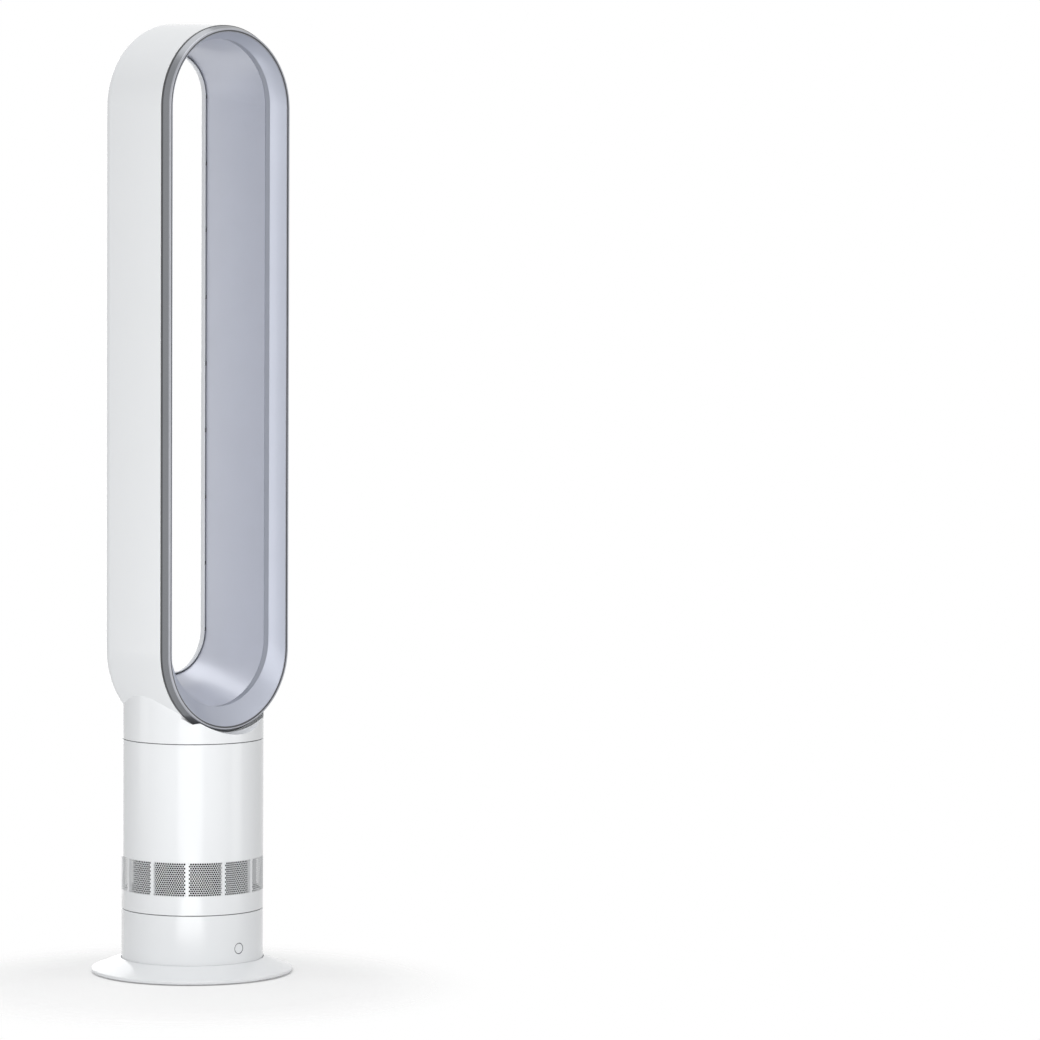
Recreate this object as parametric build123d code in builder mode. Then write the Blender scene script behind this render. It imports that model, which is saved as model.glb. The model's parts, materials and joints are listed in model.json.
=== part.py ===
from build123d import *

import math
import os

# Bladeless tower fan, as the separate pieces that it comes apart into.
# Millimetres. +Z is up and the fan blows towards -Y. The origin is on the floor, on the column's axis.
# "Forward" is a distance in front of that axis, so forward = -Y.

os.makedirs("parts", exist_ok=True)

# ---------------------------------------------------------------- driving sizes
# Outline
total_height = 1007.0  # floor to the top of the loop
column_radius = 75.3
casing_wall = 2.4
stand_radius = 107.0
stand_rim_height = 4.6  # floor to the top of the rim's edge
stand_top = 16.2  # floor to where the cone meets the column
base_top = 69.1  # floor to the seam that the tower turns at
column_top = 250.3  # floor to the seam under the loop
seam_gap = 0.8  # the dark line between two casings
junction_gap = 0.9  # between the stand and the column
fit_gap = 0.15  # between pieces that are pushed together
touch_gap = 0.3  # between pieces that lie close and don't bear on each other
edge_round = 0.4  # on the outer edges of the casings

# Air inlet in the column
vent_low = 89.7
vent_height = 35.6
vent_count = 12
vent_bar = 2.4  # solid bar between two panels
mesh_thickness = 1.2
mesh_rim = 0.8
mesh_flange = 0.8  # flange behind the casing that holds a panel in
mesh_hole_radius = 1.5
mesh_pitch = 4.0
mesh_columns = 8  # holes in a short row, and the long rows have one more
mesh_rows = 4  # short rows, with one more long row

# Loop. Half widths are measured from its centre line, and "forward" from the column's axis.
loop_rise = 9.1  # from the column's top up to the lowest edge of the loop's front
throat_low_lift = 9.0  # how much higher the two arcs of the throat are centred
throat_high_lift = 4.0
slit_low_lift = 15.0  # the same for the air slit
slit_high_lift = 14.0
shell_front_half_width = 87.0
shell_spread = 3.0  # how much wider the shell is at the back on each side
shell_wall = 2.2
shell_front = 48.5
shell_back = 43.0  # behind the axis
shell_back_fillet = 12.0
lip_half_width = 44.0
lip_flare = 7.2  # radius that the lip opens out with at the back
lip_front = -33.0
lip_wall = 1.2
slit_width = 1.8
inner_ring_wall = 2.0
inner_ring_front = 35.6
inner_ring_curl = 4.0  # how far the rear edge curls back into the duct
ring_front = 59.0
ring_front_half_width = 83.1
ring_nose = 0.8  # width of the ring's front edge
ring_wall = 2.0
ring_throat_half_width = 68.8
ring_flare_back = 43.7
ring_tongue_back = 40.0
ring_sleeve_back = 32.0
ring_shadow_gap = 2.2  # between the ring and the crest of the neck's saddle
ring_pocket_gap = 2.6  # between the ring and the saddle's pocket behind that crest
saddle_crest_lead = 3.0  # how far in front of the ring the crest lies
saddle_fall = 2.0  # how far the saddle falls from its crest to the column's front
neck_throat_radius = 68.0
neck_throat_top = 300.0
spacer_count = 9
spacer_height = 4.0
spacer_depth = 2.0

# Stand and base
foot_proud = 1.2
foot_recess = 0.8
foot_radius = 6.0
foot_inset = 15.0  # foot centre to the stand's edge
foot_count = 6
weight_plate_thickness = 3.0
stand_wall = 2.5
stand_floor = 2.5
stand_seat = 12.7  # floor to the seat that the column stands on
pillar_radius = 6.0
stand_screw_circle = 50.0
screw_count = 4
bottom_cover_thickness = 2.5
board_boss_radius = 4.5
board_height = 24.0
board_thickness = 1.6
board_radius = 57.0
boss_radius = 4.0
boss_inset = 3.4  # boss centre to the casing's inner wall
capacitor_radius = 8.0
capacitor_height = 22.0
capacitor_x = 32.0
capacitor_y = 14.0
transformer_length = 30.0
transformer_width = 24.0
transformer_height = 20.0
transformer_x = 24.0
transformer_y = -30.0

# Screws: M4 in the stand, M3 elsewhere, M2.5 in the ring gear
stand_screw_radius = 2.0
stand_screw_head_radius = 3.8
stand_screw_head = 2.0
screw_radius = 1.5
screw_head_radius = 2.8
screw_head = 1.6
gear_screw_radius = 1.25
gear_screw_head_radius = 2.2
gear_screw_head = 1.2
gear_screw_count = 6
screw_hole_gap = 0.2
thread_gap = 0.05
head_gap = 0.2
recess_depth = 1.8
drive_slot_width = 0.8
drive_slot_depth = 0.8

# Power button
button_height = 32.3
button_radius = 5.1
bezel_inner_radius = 5.4
bezel_outer_radius = 5.95
button_hole_radius = 6.0
button_cap_depth = 3.0
button_flange_radius = 6.8
button_flange = 1.0
button_travel = 1.0
stem_radius = 2.2
stem_length = 8.0
plunger_radius = 1.5
plunger_length = 2.7
plunger_gap = 0.1
switch_size = 7.0
switch_depth = 4.0
switch_gap = 1.4  # stem to switch, a little over the travel
button_board_width = 16.0
button_board_thickness = 1.6
button_board_height = 16.0

# Cord inlet at the back
gland_height = 28.0
gland_bore_radius = 3.6
gland_radius = 5.5
gland_flange_radius = 7.5
gland_flange = 3.0
gland_length = 14.0
gland_nut_radius = 8.0
gland_nut_height = 4.0
gland_nut_gap = 0.05

# Turning bearing
bearing_plate_low = 52.0
bearing_plate_thickness = 3.0
pivot_radius = 16.0
pivot_bore_radius = 12.5
pivot_top = 79.0
running_gap = 0.05
hub_wall = 4.0
hub_low = 58.0
hub_top = 76.0
clip_thickness = 1.2
clip_groove = 1.0
clip_radius = 20.0
clip_opening = 8.0
slide_ring_thickness = 3.0
slide_ring_width = 7.0
slide_lip = 1.5
skirt_wall = 5.0
slide_film = 0.1
turntable_thickness = 3.0
turntable_lift = 0.4  # above the casing's lower edge
seam_lip_wall = 1.4
seam_lip_gap = 0.7
seam_lip_drop = 3.4

# Oscillation gears
gear_module = 1.4
ring_teeth = 64
pinion_teeth = 16
pressure_angle = math.radians(20)
backlash = 0.2
ring_gear_wall = 5.5
pinion_low = 60.5
pinion_height = 7.0
shaft_radius = 2.5
oscillation_motor_radius = 16.0
oscillation_motor_height = 16.0
motor_ear_length = 46.0
motor_ear_width = 8.0
motor_ear_thickness = 1.0
motor_ear_circle = 19.5
motor_boss_radius = 4.0
motor_boss_height = 2.5

# Impeller, its housing and the motor
bell_low = 126.0
bell_radius = 60.0
housing_low = 134.0
housing_spigot = 5.0
housing_inlet_radius = 40.0
housing_outlet_radius = 55.0
housing_cone_top = 168.0
housing_top = 205.0
housing_wall = 2.0
bell_collar = 4.5
housing_flange_low = 159.0
housing_flange = 3.0
housing_flange_gap = 0.9
shelf_low = 148.0
shelf_thickness = 3.0
shelf_width = 10.4
seal_wall = 2.0
seal_inset = 0.7
mount_count = 3
mount_radius = 3.0
mount_inset = 4.0
blade_count = 9
blade_thickness = 1.4
blade_gap = 0.8
blade_root = 5.0  # how far a blade reaches into the hub
impeller_low = 139.5
impeller_top = 164.0
hub_nose_radius = 11.0
hub_back_radius = 38.0
hub_shell = 2.0
hub_boss_radius = 7.0
hub_boss_top = 160.0
blade_turn = 42.0
shaft_low = 132.0
shaft_top = 201.5
nut_radius = 5.0
nut_height = 4.0
nut_gap = 0.3
bucket_low = 166.0
bucket_radius = 38.0
bucket_wall = 2.0
bucket_floor = 2.0
bucket_top = 200.0
bucket_ledge = 3.5
cap_thickness = 3.0
cap_dome = 5.0
bearing_radius = 8.0
bearing_height = 5.0
bearing_boss_wall = 3.0
bearing_floor_hole = 4.0
stator_low = 176.0
stator_height = 16.0
stator_yoke = 8.0
tooth_count = 6
tooth_width = 7.0
rotor_radius = 11.8
rotor_height = 20.0
air_gap = 0.8
coil_wall = 3.0
coil_inner = 15.0
coil_outer = 26.5
motor_board_thickness = 1.6
motor_board_low = 196.0
motor_board_post = 2.0
vane_count = 11
vane_low = 171.0
vane_top = 198.0
vane_thickness = 1.4
vane_turn = -24.0
vane_ring_wall = 1.6

# Silencing foam
lower_foam_inner = 54.0
lower_foam_outer = 62.0
upper_foam_gap = 0.5
upper_foam_inner_gap = 1.0
upper_foam_top = 218.0

# Neck joint
collar_below = 12.0  # how far the collar reaches below the seam and above it
collar_above = 3.0
collar_wall = 2.4
ledge_width = 2.7
ledge_thickness = 3.0
neck_seal_height = 2.5
divider_half_width = 24.0
divider_height = 40.0
divider_reach = 15.4  # how far its arms rise beside the foot of the inner ring
divider_wall = 2.0
divider_back = -20.0
divider_front = 32.0

# Leads inside
lead_radius = 2.0
lead_hole_gap = 0.3
lead_inset = 4.4  # lead centre to the casing's inner wall
lead_low = 64.0
lead_gap = 0.5
lead_cross_height = 104.0
lead_over_height = 232.0
lead_cap_x = 26.0
lead_bend = 12.0
lead_end = 199.0

# ---------------------------------------------------------------- worked out from them
casing_inner = column_radius - casing_wall
# The sides lean out towards the back until the rounded edge starts, so the loop is tallest there
shell_back_half_width = shell_front_half_width + shell_spread
shell_lean = shell_spread / (shell_front + shell_back)
shell_widest = shell_back_half_width - shell_lean * shell_back_fillet
loop_low_centre = loop_rise + shell_front_half_width + column_top
loop_high_centre = total_height - shell_widest
loop_centres = (loop_low_centre, loop_high_centre)
throat_centres = (loop_low_centre + throat_low_lift, loop_high_centre + throat_high_lift)
slit_centres = (loop_low_centre + slit_low_lift, loop_high_centre + slit_high_lift)
plate_top = foot_proud + weight_plate_thickness
foot_circle = stand_radius - foot_inset
housing_top_edge = base_top - seam_gap / 2
tower_low = base_top + seam_gap / 2
casing_top = column_top - seam_gap / 2
neck_low = column_top + seam_gap / 2
collar_low = column_top - collar_below
collar_top = column_top + collar_above
boss_circle = casing_inner - boss_inset
cover_top = stand_seat + bottom_cover_thickness
bearing_top = bearing_plate_low + bearing_plate_thickness
slide_top = bearing_top + slide_ring_thickness
turntable_low = tower_low + turntable_lift
turntable_top = turntable_low + turntable_thickness
ring_pitch_radius = gear_module * ring_teeth / 2
pinion_pitch_radius = gear_module * pinion_teeth / 2
gear_centre = ring_pitch_radius - pinion_pitch_radius
ring_gear_outer = ring_pitch_radius + 1.25 * gear_module + ring_gear_wall
slide_inner = ring_gear_outer + 2.5
slide_outer = slide_inner + slide_ring_width
skirt_inner = slide_inner + 1.0
skirt_outer = skirt_inner + skirt_wall
switch_front = column_radius - button_cap_depth - button_flange - stem_length - switch_gap
button_board_front = switch_front - switch_depth
shelf_top = shelf_low + shelf_thickness
shelf_inner = casing_inner - shelf_width
seal_inner = shelf_inner + seal_inset
mount_circle = casing_inner - mount_inset
lead_x = casing_inner - lead_inset
cone_low = housing_low + housing_spigot
cone_slope = (housing_outlet_radius - housing_inlet_radius) / (housing_cone_top - cone_low)
hub_slope = (hub_back_radius - hub_nose_radius) / (impeller_top - impeller_low)
stator_outer = bucket_radius - bucket_wall - fit_gap
stator_top = stator_low + stator_height
collar_outer = casing_inner - fit_gap
board_top = board_height + board_thickness
divider_top = throat_centres[0] - ring_throat_half_width + divider_reach
divider_low = divider_top - divider_height


# ---------------------------------------------------------------- shared shapes
def turned_profile(points):
    """The flat outline through (radius, height) points, to be turned about the column's axis."""
    with BuildSketch(Plane.XZ) as outline:
        with BuildLine():
            Polyline(*points, close=True)
        make_face()
    return outline.sketch


def ring(outer, low, high, inner=0.0, mode=Mode.ADD):
    """A disc or ring about the column's axis, added to the piece being built."""
    with BuildSketch(Plane.XY.offset(low)) as flat:
        Circle(outer)
        if inner > 0:
            Circle(inner, mode=Mode.SUBTRACT)
    extrude(flat.sketch, amount=high - low, mode=mode)


def posts(circle, count, radius, low, high, start=0.0, mode=Mode.ADD):
    """Round posts, or holes with Mode.SUBTRACT, spaced round the column's axis."""
    with BuildSketch(Plane.XY.offset(low)) as flat:
        with PolarLocations(circle, count, start_angle=start):
            Circle(radius)
    extrude(flat.sketch, amount=high - low, mode=mode)


def spots(places, radius, low, high, mode=Mode.ADD):
    """Round posts, or holes with Mode.SUBTRACT, at chosen (x, y) places."""
    with BuildSketch(Plane.XY.offset(low)) as flat:
        with Locations(*places):
            Circle(radius)
    extrude(flat.sketch, amount=high - low, mode=mode)


def forward_rod(radius, height, back, front, inner=0.0, mode=Mode.ADD):
    """A round rod or tube that lies front to back at a height, from one forward distance to another."""
    with BuildSketch(Plane.XZ.offset(back)) as flat:
        with Locations((0, height)):
            Circle(radius)
            if inner > 0:
                Circle(inner, mode=Mode.SUBTRACT)
    extrude(flat.sketch, amount=front - back, mode=mode)


def stadium(forward, half_width, centres):
    """A loop outline at one forward distance: two half circles about these heights, joined straight."""
    low, high = centres
    with BuildSketch(Plane.XZ.offset(forward)) as outline:
        with BuildLine():
            Line((half_width, low), (half_width, high))
            ThreePointArc((half_width, high), (0, high + half_width), (-half_width, high))
            Line((-half_width, high), (-half_width, low))
            ThreePointArc((-half_width, low), (0, low - half_width), (half_width, low))
        make_face()
    return outline.sketch


def loop_block(sections, mode=Mode.ADD):
    """A block through loop outlines, each given as (forward, half width, centres of its arcs)."""
    loft([stadium(*section) for section in sections], ruled=True, mode=mode)


def swept_loop(outline, centres):
    """A closed outline carried round the loop, given by a function that draws it at a height."""
    low, high = centres
    for height, turn in ((high, -1), (low, 1)):
        revolve(outline(height), axis=Axis((0, 0, height), (0, turn, 0)), revolution_arc=180)
    right = outline(low)
    left = mirror(right, about=Plane.YZ, mode=Mode.PRIVATE)
    for side in (right, left):
        extrude(side, amount=high - low, dir=(0, 0, 1))


def round_rim(piece, radius, height):
    """Rounds the circular edge that a piece has at a radius and a height."""
    rims = piece.edges().filter_by(GeomType.CIRCLE)
    rims = rims.filter_by(lambda e: abs(e.radius - radius) + abs(e.arc_center.Z - height) < 0.01)
    fillet(rims, radius=edge_round)


def gear_outline(teeth, root, tip, extra_thickness, start=0.0):
    """An involute gear's outline. Points run up one flank and down the other of each tooth."""
    pitch = gear_module * teeth / 2
    base = pitch * math.cos(pressure_angle)
    at_pitch = math.pi / (2 * teeth) + extra_thickness / (2 * pitch)
    at_pitch += math.tan(pressure_angle) - pressure_angle
    flank = []
    flank_steps = 4
    for step in range(flank_steps + 1):
        radius = root + (tip - root) * step / flank_steps
        roll = math.acos(base / max(radius, base))
        flank.append((radius, at_pitch - (math.tan(roll) - roll)))
    points = []
    for tooth in range(teeth):
        middle = math.radians(start) + 2 * math.pi * tooth / teeth
        for radius, half_angle in flank:
            angle = middle - half_angle
            points.append((radius * math.cos(angle), radius * math.sin(angle)))
        for radius, half_angle in reversed(flank):
            angle = middle + half_angle
            points.append((radius * math.cos(angle), radius * math.sin(angle)))
    return points


def screw_set(places, radius, head_radius, head, tip, seat, upward):
    """Pan head screws at (x, y) places. A screw that points up has its head below its seat."""
    head_far = seat - head if upward else seat + head
    spots(places, radius, min(tip, seat), max(tip, seat))
    spots(places, head_radius, min(seat, head_far), max(seat, head_far))
    slot_low = head_far if upward else head_far - drive_slot_depth
    with BuildSketch(Plane.XY.offset(slot_low)) as slots:
        with Locations(*places):
            Rectangle(1.3 * head_radius, drive_slot_width)
            Rectangle(drive_slot_width, 1.3 * head_radius)
    extrude(slots.sketch, amount=drive_slot_depth, mode=Mode.SUBTRACT)


def on_circle(circle, count, start=0.0):
    """The (x, y) places of a pattern spaced round the column's axis."""
    angles = [math.radians(start) + 2 * math.pi * i / count for i in range(count)]
    return [(circle * math.cos(a), circle * math.sin(a)) for a in angles]


stand_screw_places = on_circle(stand_screw_circle, screw_count)
boss_places = on_circle(boss_circle, screw_count, 45.0)

# ---------------------------------------------------------------- stand
with BuildPart() as stand_cover:
    revolve(
        turned_profile(
            [
                (0, stand_seat - stand_floor),
                (column_radius - stand_wall, stand_seat - stand_floor),
                (stand_radius - stand_wall, plate_top + fit_gap),
                (stand_radius - stand_wall, foot_proud),
                (stand_radius, foot_proud),
                (stand_radius, stand_rim_height),
                (column_radius + junction_gap, stand_top),
                (column_radius + junction_gap, stand_seat),
                (0, stand_seat),
            ]
        ),
        axis=Axis.Z,
    )
    rim = stand_cover.edges().filter_by(GeomType.CIRCLE).filter_by(lambda e: abs(e.radius - stand_radius) < 0.01)
    fillet(rim, radius=0.35 * (stand_rim_height - foot_proud))
    spots(stand_screw_places, pillar_radius, plate_top, stand_seat - stand_floor)
    spots(stand_screw_places, stand_screw_radius + screw_hole_gap, foot_proud, stand_seat, mode=Mode.SUBTRACT)
stand_cover.part.label = "stand_cover"
export_step(stand_cover.part, "parts/stand_cover.step")

with BuildPart() as stand_weight_plate:
    ring(stand_radius - stand_wall - fit_gap, foot_proud, plate_top)
    posts(
        foot_circle, foot_count, foot_radius + fit_gap, foot_proud, foot_proud + foot_recess, 30, Mode.SUBTRACT
    )
    spots(
        stand_screw_places,
        stand_screw_head_radius + head_gap,
        foot_proud,
        foot_proud + stand_screw_head,
        Mode.SUBTRACT,
    )
    spots(stand_screw_places, stand_screw_radius + screw_hole_gap, foot_proud, plate_top, Mode.SUBTRACT)
stand_weight_plate.part.label = "stand_weight_plate"
export_step(stand_weight_plate.part, "parts/stand_weight_plate.step")

with BuildPart() as rubber_feet:
    posts(foot_circle, foot_count, foot_radius, 0, foot_proud + foot_recess, 30)
    floor_edges = rubber_feet.edges().group_by(Axis.Z)[0]
    chamfer(floor_edges, length=0.25 * foot_proud)
rubber_feet.part.label = "rubber_feet"
export_step(rubber_feet.part, "parts/rubber_feet.step")

with BuildPart() as stand_screws:
    screw_set(
        stand_screw_places,
        stand_screw_radius,
        stand_screw_head_radius,
        stand_screw_head - touch_gap,
        cover_top + 3.0,
        foot_proud + stand_screw_head,
        upward=True,
    )
stand_screws.part.label = "stand_screws"
export_step(stand_screws.part, "parts/stand_screws.step")

# ---------------------------------------------------------------- base
with BuildPart() as bottom_cover:
    ring(casing_inner - fit_gap, stand_seat, cover_top)
    spots(stand_screw_places, board_boss_radius, cover_top, board_height)
    spots(stand_screw_places, stand_screw_radius + thread_gap, stand_seat, board_height, Mode.SUBTRACT)
    spots(boss_places, screw_head_radius + head_gap, stand_seat, stand_seat + recess_depth, Mode.SUBTRACT)
    spots(boss_places, screw_radius + screw_hole_gap, stand_seat, cover_top, Mode.SUBTRACT)
bottom_cover.part.label = "bottom_cover"
export_step(bottom_cover.part, "parts/bottom_cover.step")

with BuildPart() as bottom_cover_screws:
    screw_set(
        boss_places,
        screw_radius,
        screw_head_radius,
        screw_head,
        cover_top + 9.0,
        stand_seat + recess_depth,
        upward=True,
    )
bottom_cover_screws.part.label = "bottom_cover_screws"
export_step(bottom_cover_screws.part, "parts/bottom_cover_screws.step")

with BuildPart() as base_housing:
    ring(column_radius, stand_seat, housing_top_edge, casing_inner)
    round_rim(base_housing, column_radius, housing_top_edge)
    spots(boss_places, boss_radius, cover_top, bearing_plate_low)
    spots(boss_places, screw_radius + thread_gap, cover_top, bearing_plate_low, Mode.SUBTRACT)
    forward_rod(
        button_hole_radius, button_height, casing_inner - 5, column_radius + 5, mode=Mode.SUBTRACT
    )
    forward_rod(
        gland_radius + fit_gap, gland_height, -column_radius - 5, -casing_inner + 5, mode=Mode.SUBTRACT
    )
base_housing.part.label = "base_housing"
export_step(base_housing.part, "parts/base_housing.step")

with BuildPart() as cable_gland:
    gland_back = -column_radius - gland_flange
    forward_rod(gland_flange_radius, gland_height, gland_back, -column_radius + 1.0)
    fillet(cable_gland.edges().group_by(Axis.Y)[-1], radius=2 * edge_round)
    ring(column_radius, stand_seat, housing_top_edge, mode=Mode.SUBTRACT)
    forward_rod(gland_radius, gland_height, gland_back + 1.0, gland_back + gland_length)
    forward_rod(
        gland_bore_radius, gland_height, gland_back - 1.0, gland_back + gland_length + 1.0, mode=Mode.SUBTRACT
    )
cable_gland.part.label = "cable_gland"
export_step(cable_gland.part, "parts/cable_gland.step")

with BuildPart() as gland_nut:
    nut_back = -casing_inner + 1.2
    with BuildSketch(Plane.XZ.offset(nut_back)) as nut_outline:
        with Locations((0, gland_height)):
            RegularPolygon(gland_nut_radius, 6)
            Circle(gland_radius + gland_nut_gap, mode=Mode.SUBTRACT)
    extrude(amount=gland_nut_height)
gland_nut.part.label = "gland_nut"
export_step(gland_nut.part, "parts/gland_nut.step")

# Boards and what stands on them
with BuildPart() as power_board:
    ring(board_radius, board_height, board_top)
    spots(stand_screw_places, screw_radius + screw_hole_gap, board_height, board_top, Mode.SUBTRACT)
power_board.part.label = "power_board"
export_step(power_board.part, "parts/power_board.step")

with BuildPart() as board_screws:
    screw_set(
        stand_screw_places,
        screw_radius,
        screw_head_radius,
        screw_head,
        cover_top + 3.0 + touch_gap,
        board_top,
        upward=False,
    )
board_screws.part.label = "board_screws"
export_step(board_screws.part, "parts/board_screws.step")

with BuildPart() as board_capacitors:
    capacitor_places = [(-capacitor_x, capacitor_y), (-capacitor_x, capacitor_y - 3 * capacitor_radius)]
    spots(capacitor_places, capacitor_radius, board_top, board_top + capacitor_height)
    fillet(board_capacitors.edges().group_by(Axis.Z)[-1], radius=0.12 * capacitor_radius)
board_capacitors.part.label = "board_capacitors"
export_step(board_capacitors.part, "parts/board_capacitors.step")

with BuildPart() as transformer:
    with BuildSketch(Plane.XY.offset(board_top)) as core:
        with Locations((transformer_x, transformer_y)):
            Rectangle(transformer_length, transformer_width)
    extrude(amount=transformer_height)
    chamfer(transformer.edges().filter_by(Axis.Z), length=0.08 * transformer_width)
transformer.part.label = "transformer"
export_step(transformer.part, "parts/transformer.step")

with BuildPart() as board_lead:
    ring(lead_radius, board_top, lead_low - lead_gap)
board_lead.part.label = "board_lead"
export_step(board_lead.part, "parts/board_lead.step")

# Button, from the outside in
with BuildPart() as button_bezel:
    forward_rod(
        bezel_outer_radius, button_height, casing_inner - touch_gap, column_radius + 2.0, bezel_inner_radius
    )
    ring(column_radius, stand_seat, housing_top_edge, mode=Mode.INTERSECT)
button_bezel.part.label = "button_bezel"
export_step(button_bezel.part, "parts/button_bezel.step")

with BuildPart() as power_button:
    cap_back = column_radius - button_cap_depth
    flange_back = cap_back - button_flange
    forward_rod(button_radius, button_height, cap_back, column_radius + 2.0)
    ring(column_radius, stand_seat, housing_top_edge, mode=Mode.INTERSECT)
    forward_rod(button_flange_radius, button_height, flange_back - touch_gap, cap_back - touch_gap)
    forward_rod(button_radius, button_height, cap_back - touch_gap, cap_back)
    forward_rod(stem_radius, button_height, flange_back - stem_length, flange_back)
power_button.part.label = "power_button"
export_step(power_button.part, "parts/power_button.step")

with BuildPart() as switch_plunger:
    plunger_front = flange_back - stem_length
    forward_rod(plunger_radius, button_height, plunger_front - plunger_length, plunger_front)
switch_plunger.part.label = "switch_plunger"
export_step(switch_plunger.part, "parts/switch_plunger.step")

with BuildPart() as button_switch:
    with BuildSketch(Plane.XZ.offset(button_board_front)) as switch_outline:
        with Locations((0, button_height)):
            Rectangle(switch_size, switch_size)
    extrude(amount=switch_depth)
    forward_rod(
        plunger_radius + plunger_gap,
        button_height,
        plunger_front - plunger_length - button_travel - touch_gap,
        switch_front + 1.0,
        mode=Mode.SUBTRACT,
    )
button_switch.part.label = "button_switch"
export_step(button_switch.part, "parts/button_switch.step")

with BuildPart() as button_board:
    with BuildSketch(Plane.XY.offset(board_top)) as board_outline:
        with Locations((0, -button_board_front + button_board_thickness / 2)):
            Rectangle(button_board_width, button_board_thickness)
    extrude(amount=button_board_height)
button_board.part.label = "button_board"
export_step(button_board.part, "parts/button_board.step")

# ---------------------------------------------------------------- turning bearing
with BuildPart() as bearing_plate:
    ring(casing_inner - fit_gap, bearing_plate_low, bearing_top)
    ring(slide_inner - fit_gap, bearing_top, bearing_top + slide_lip, slide_inner - fit_gap - 1.5)
    ring(pivot_radius, bearing_plate_low, pivot_top)
    groove_low = hub_top + touch_gap
    ring(
        pivot_radius + 1,
        groove_low,
        groove_low + clip_thickness + 0.2,
        pivot_radius - clip_groove,
        Mode.SUBTRACT,
    )
    ring(pivot_bore_radius, bearing_plate_low, pivot_top, mode=Mode.SUBTRACT)
    spots(boss_places, screw_radius + screw_hole_gap, bearing_plate_low, bearing_top, Mode.SUBTRACT)
    spots([(0, gear_centre)], motor_boss_radius + fit_gap, bearing_plate_low, bearing_top, Mode.SUBTRACT)
    ear_places = [(-motor_ear_circle, gear_centre), (motor_ear_circle, gear_centre)]
    spots(ear_places, screw_radius + screw_hole_gap, bearing_plate_low, bearing_top, Mode.SUBTRACT)
bearing_plate.part.label = "bearing_plate"
export_step(bearing_plate.part, "parts/bearing_plate.step")

with BuildPart() as bearing_plate_screws:
    screw_set(
        boss_places,
        screw_radius,
        screw_head_radius,
        screw_head,
        bearing_plate_low - 8.0,
        bearing_top,
        upward=False,
    )
bearing_plate_screws.part.label = "bearing_plate_screws"
export_step(bearing_plate_screws.part, "parts/bearing_plate_screws.step")

with BuildPart() as slide_ring:
    ring(slide_outer, bearing_top, slide_top, slide_inner)
slide_ring.part.label = "slide_ring"
export_step(slide_ring.part, "parts/slide_ring.step")

with BuildPart() as pivot_clip:
    ring(clip_radius, groove_low + 0.1, groove_low + 0.1 + clip_thickness, pivot_radius - clip_groove + 0.05)
    with BuildSketch(Plane.XY.offset(groove_low)) as clip_mouth:
        with Locations((-clip_radius, 0)):
            Rectangle(1.2 * clip_radius, clip_opening)
    extrude(amount=2 * clip_thickness, mode=Mode.SUBTRACT)
pivot_clip.part.label = "pivot_clip"
export_step(pivot_clip.part, "parts/pivot_clip.step")

with BuildPart() as oscillation_motor:
    motor_low = bearing_plate_low - oscillation_motor_height
    spots([(0, gear_centre)], oscillation_motor_radius, motor_low, bearing_plate_low)
    fillet(oscillation_motor.edges().group_by(Axis.Z)[0], radius=0.1 * oscillation_motor_radius)
    with BuildSketch(Plane.XY.offset(bearing_plate_low - motor_ear_thickness)) as ears:
        with Locations((0, gear_centre)):
            SlotOverall(motor_ear_length, motor_ear_width)
    extrude(amount=motor_ear_thickness)
    spots([(0, gear_centre)], motor_boss_radius, bearing_plate_low, bearing_plate_low + motor_boss_height)
    spots(
        ear_places,
        screw_radius + thread_gap,
        bearing_plate_low - motor_ear_thickness,
        bearing_plate_low,
        Mode.SUBTRACT,
    )
    shaft_seat = bearing_plate_low - 0.6 * oscillation_motor_height
    spots(
        [(0, gear_centre)],
        shaft_radius + running_gap,
        shaft_seat - touch_gap,
        bearing_top,
        Mode.SUBTRACT,
    )
oscillation_motor.part.label = "oscillation_motor"
export_step(oscillation_motor.part, "parts/oscillation_motor.step")

with BuildPart() as oscillation_motor_screws:
    screw_set(
        ear_places,
        screw_radius,
        screw_head_radius,
        screw_head,
        bearing_plate_low - 2 * motor_ear_thickness,
        bearing_top,
        upward=False,
    )
oscillation_motor_screws.part.label = "oscillation_motor_screws"
export_step(oscillation_motor_screws.part, "parts/oscillation_motor_screws.step")

with BuildPart() as oscillation_shaft:
    spots([(0, gear_centre)], shaft_radius, shaft_seat, pinion_low + pinion_height)
oscillation_shaft.part.label = "oscillation_shaft"
export_step(oscillation_shaft.part, "parts/oscillation_shaft.step")

with BuildPart() as drive_pinion:
    with BuildSketch(Plane.XY.offset(pinion_low)) as pinion_outline:
        with Locations((0, gear_centre)):
            with BuildLine(mode=Mode.PRIVATE) as pinion_line:
                Polyline(
                    *gear_outline(
                        pinion_teeth,
                        pinion_pitch_radius - 1.25 * gear_module,
                        pinion_pitch_radius + gear_module,
                        -backlash,
                        90.0,
                    ),
                    close=True,
                )
            add(make_face(pinion_line.line, mode=Mode.PRIVATE))
            Circle(shaft_radius + running_gap, mode=Mode.SUBTRACT)
    extrude(amount=pinion_height)
drive_pinion.part.label = "drive_pinion"
export_step(drive_pinion.part, "parts/drive_pinion.step")

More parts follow.
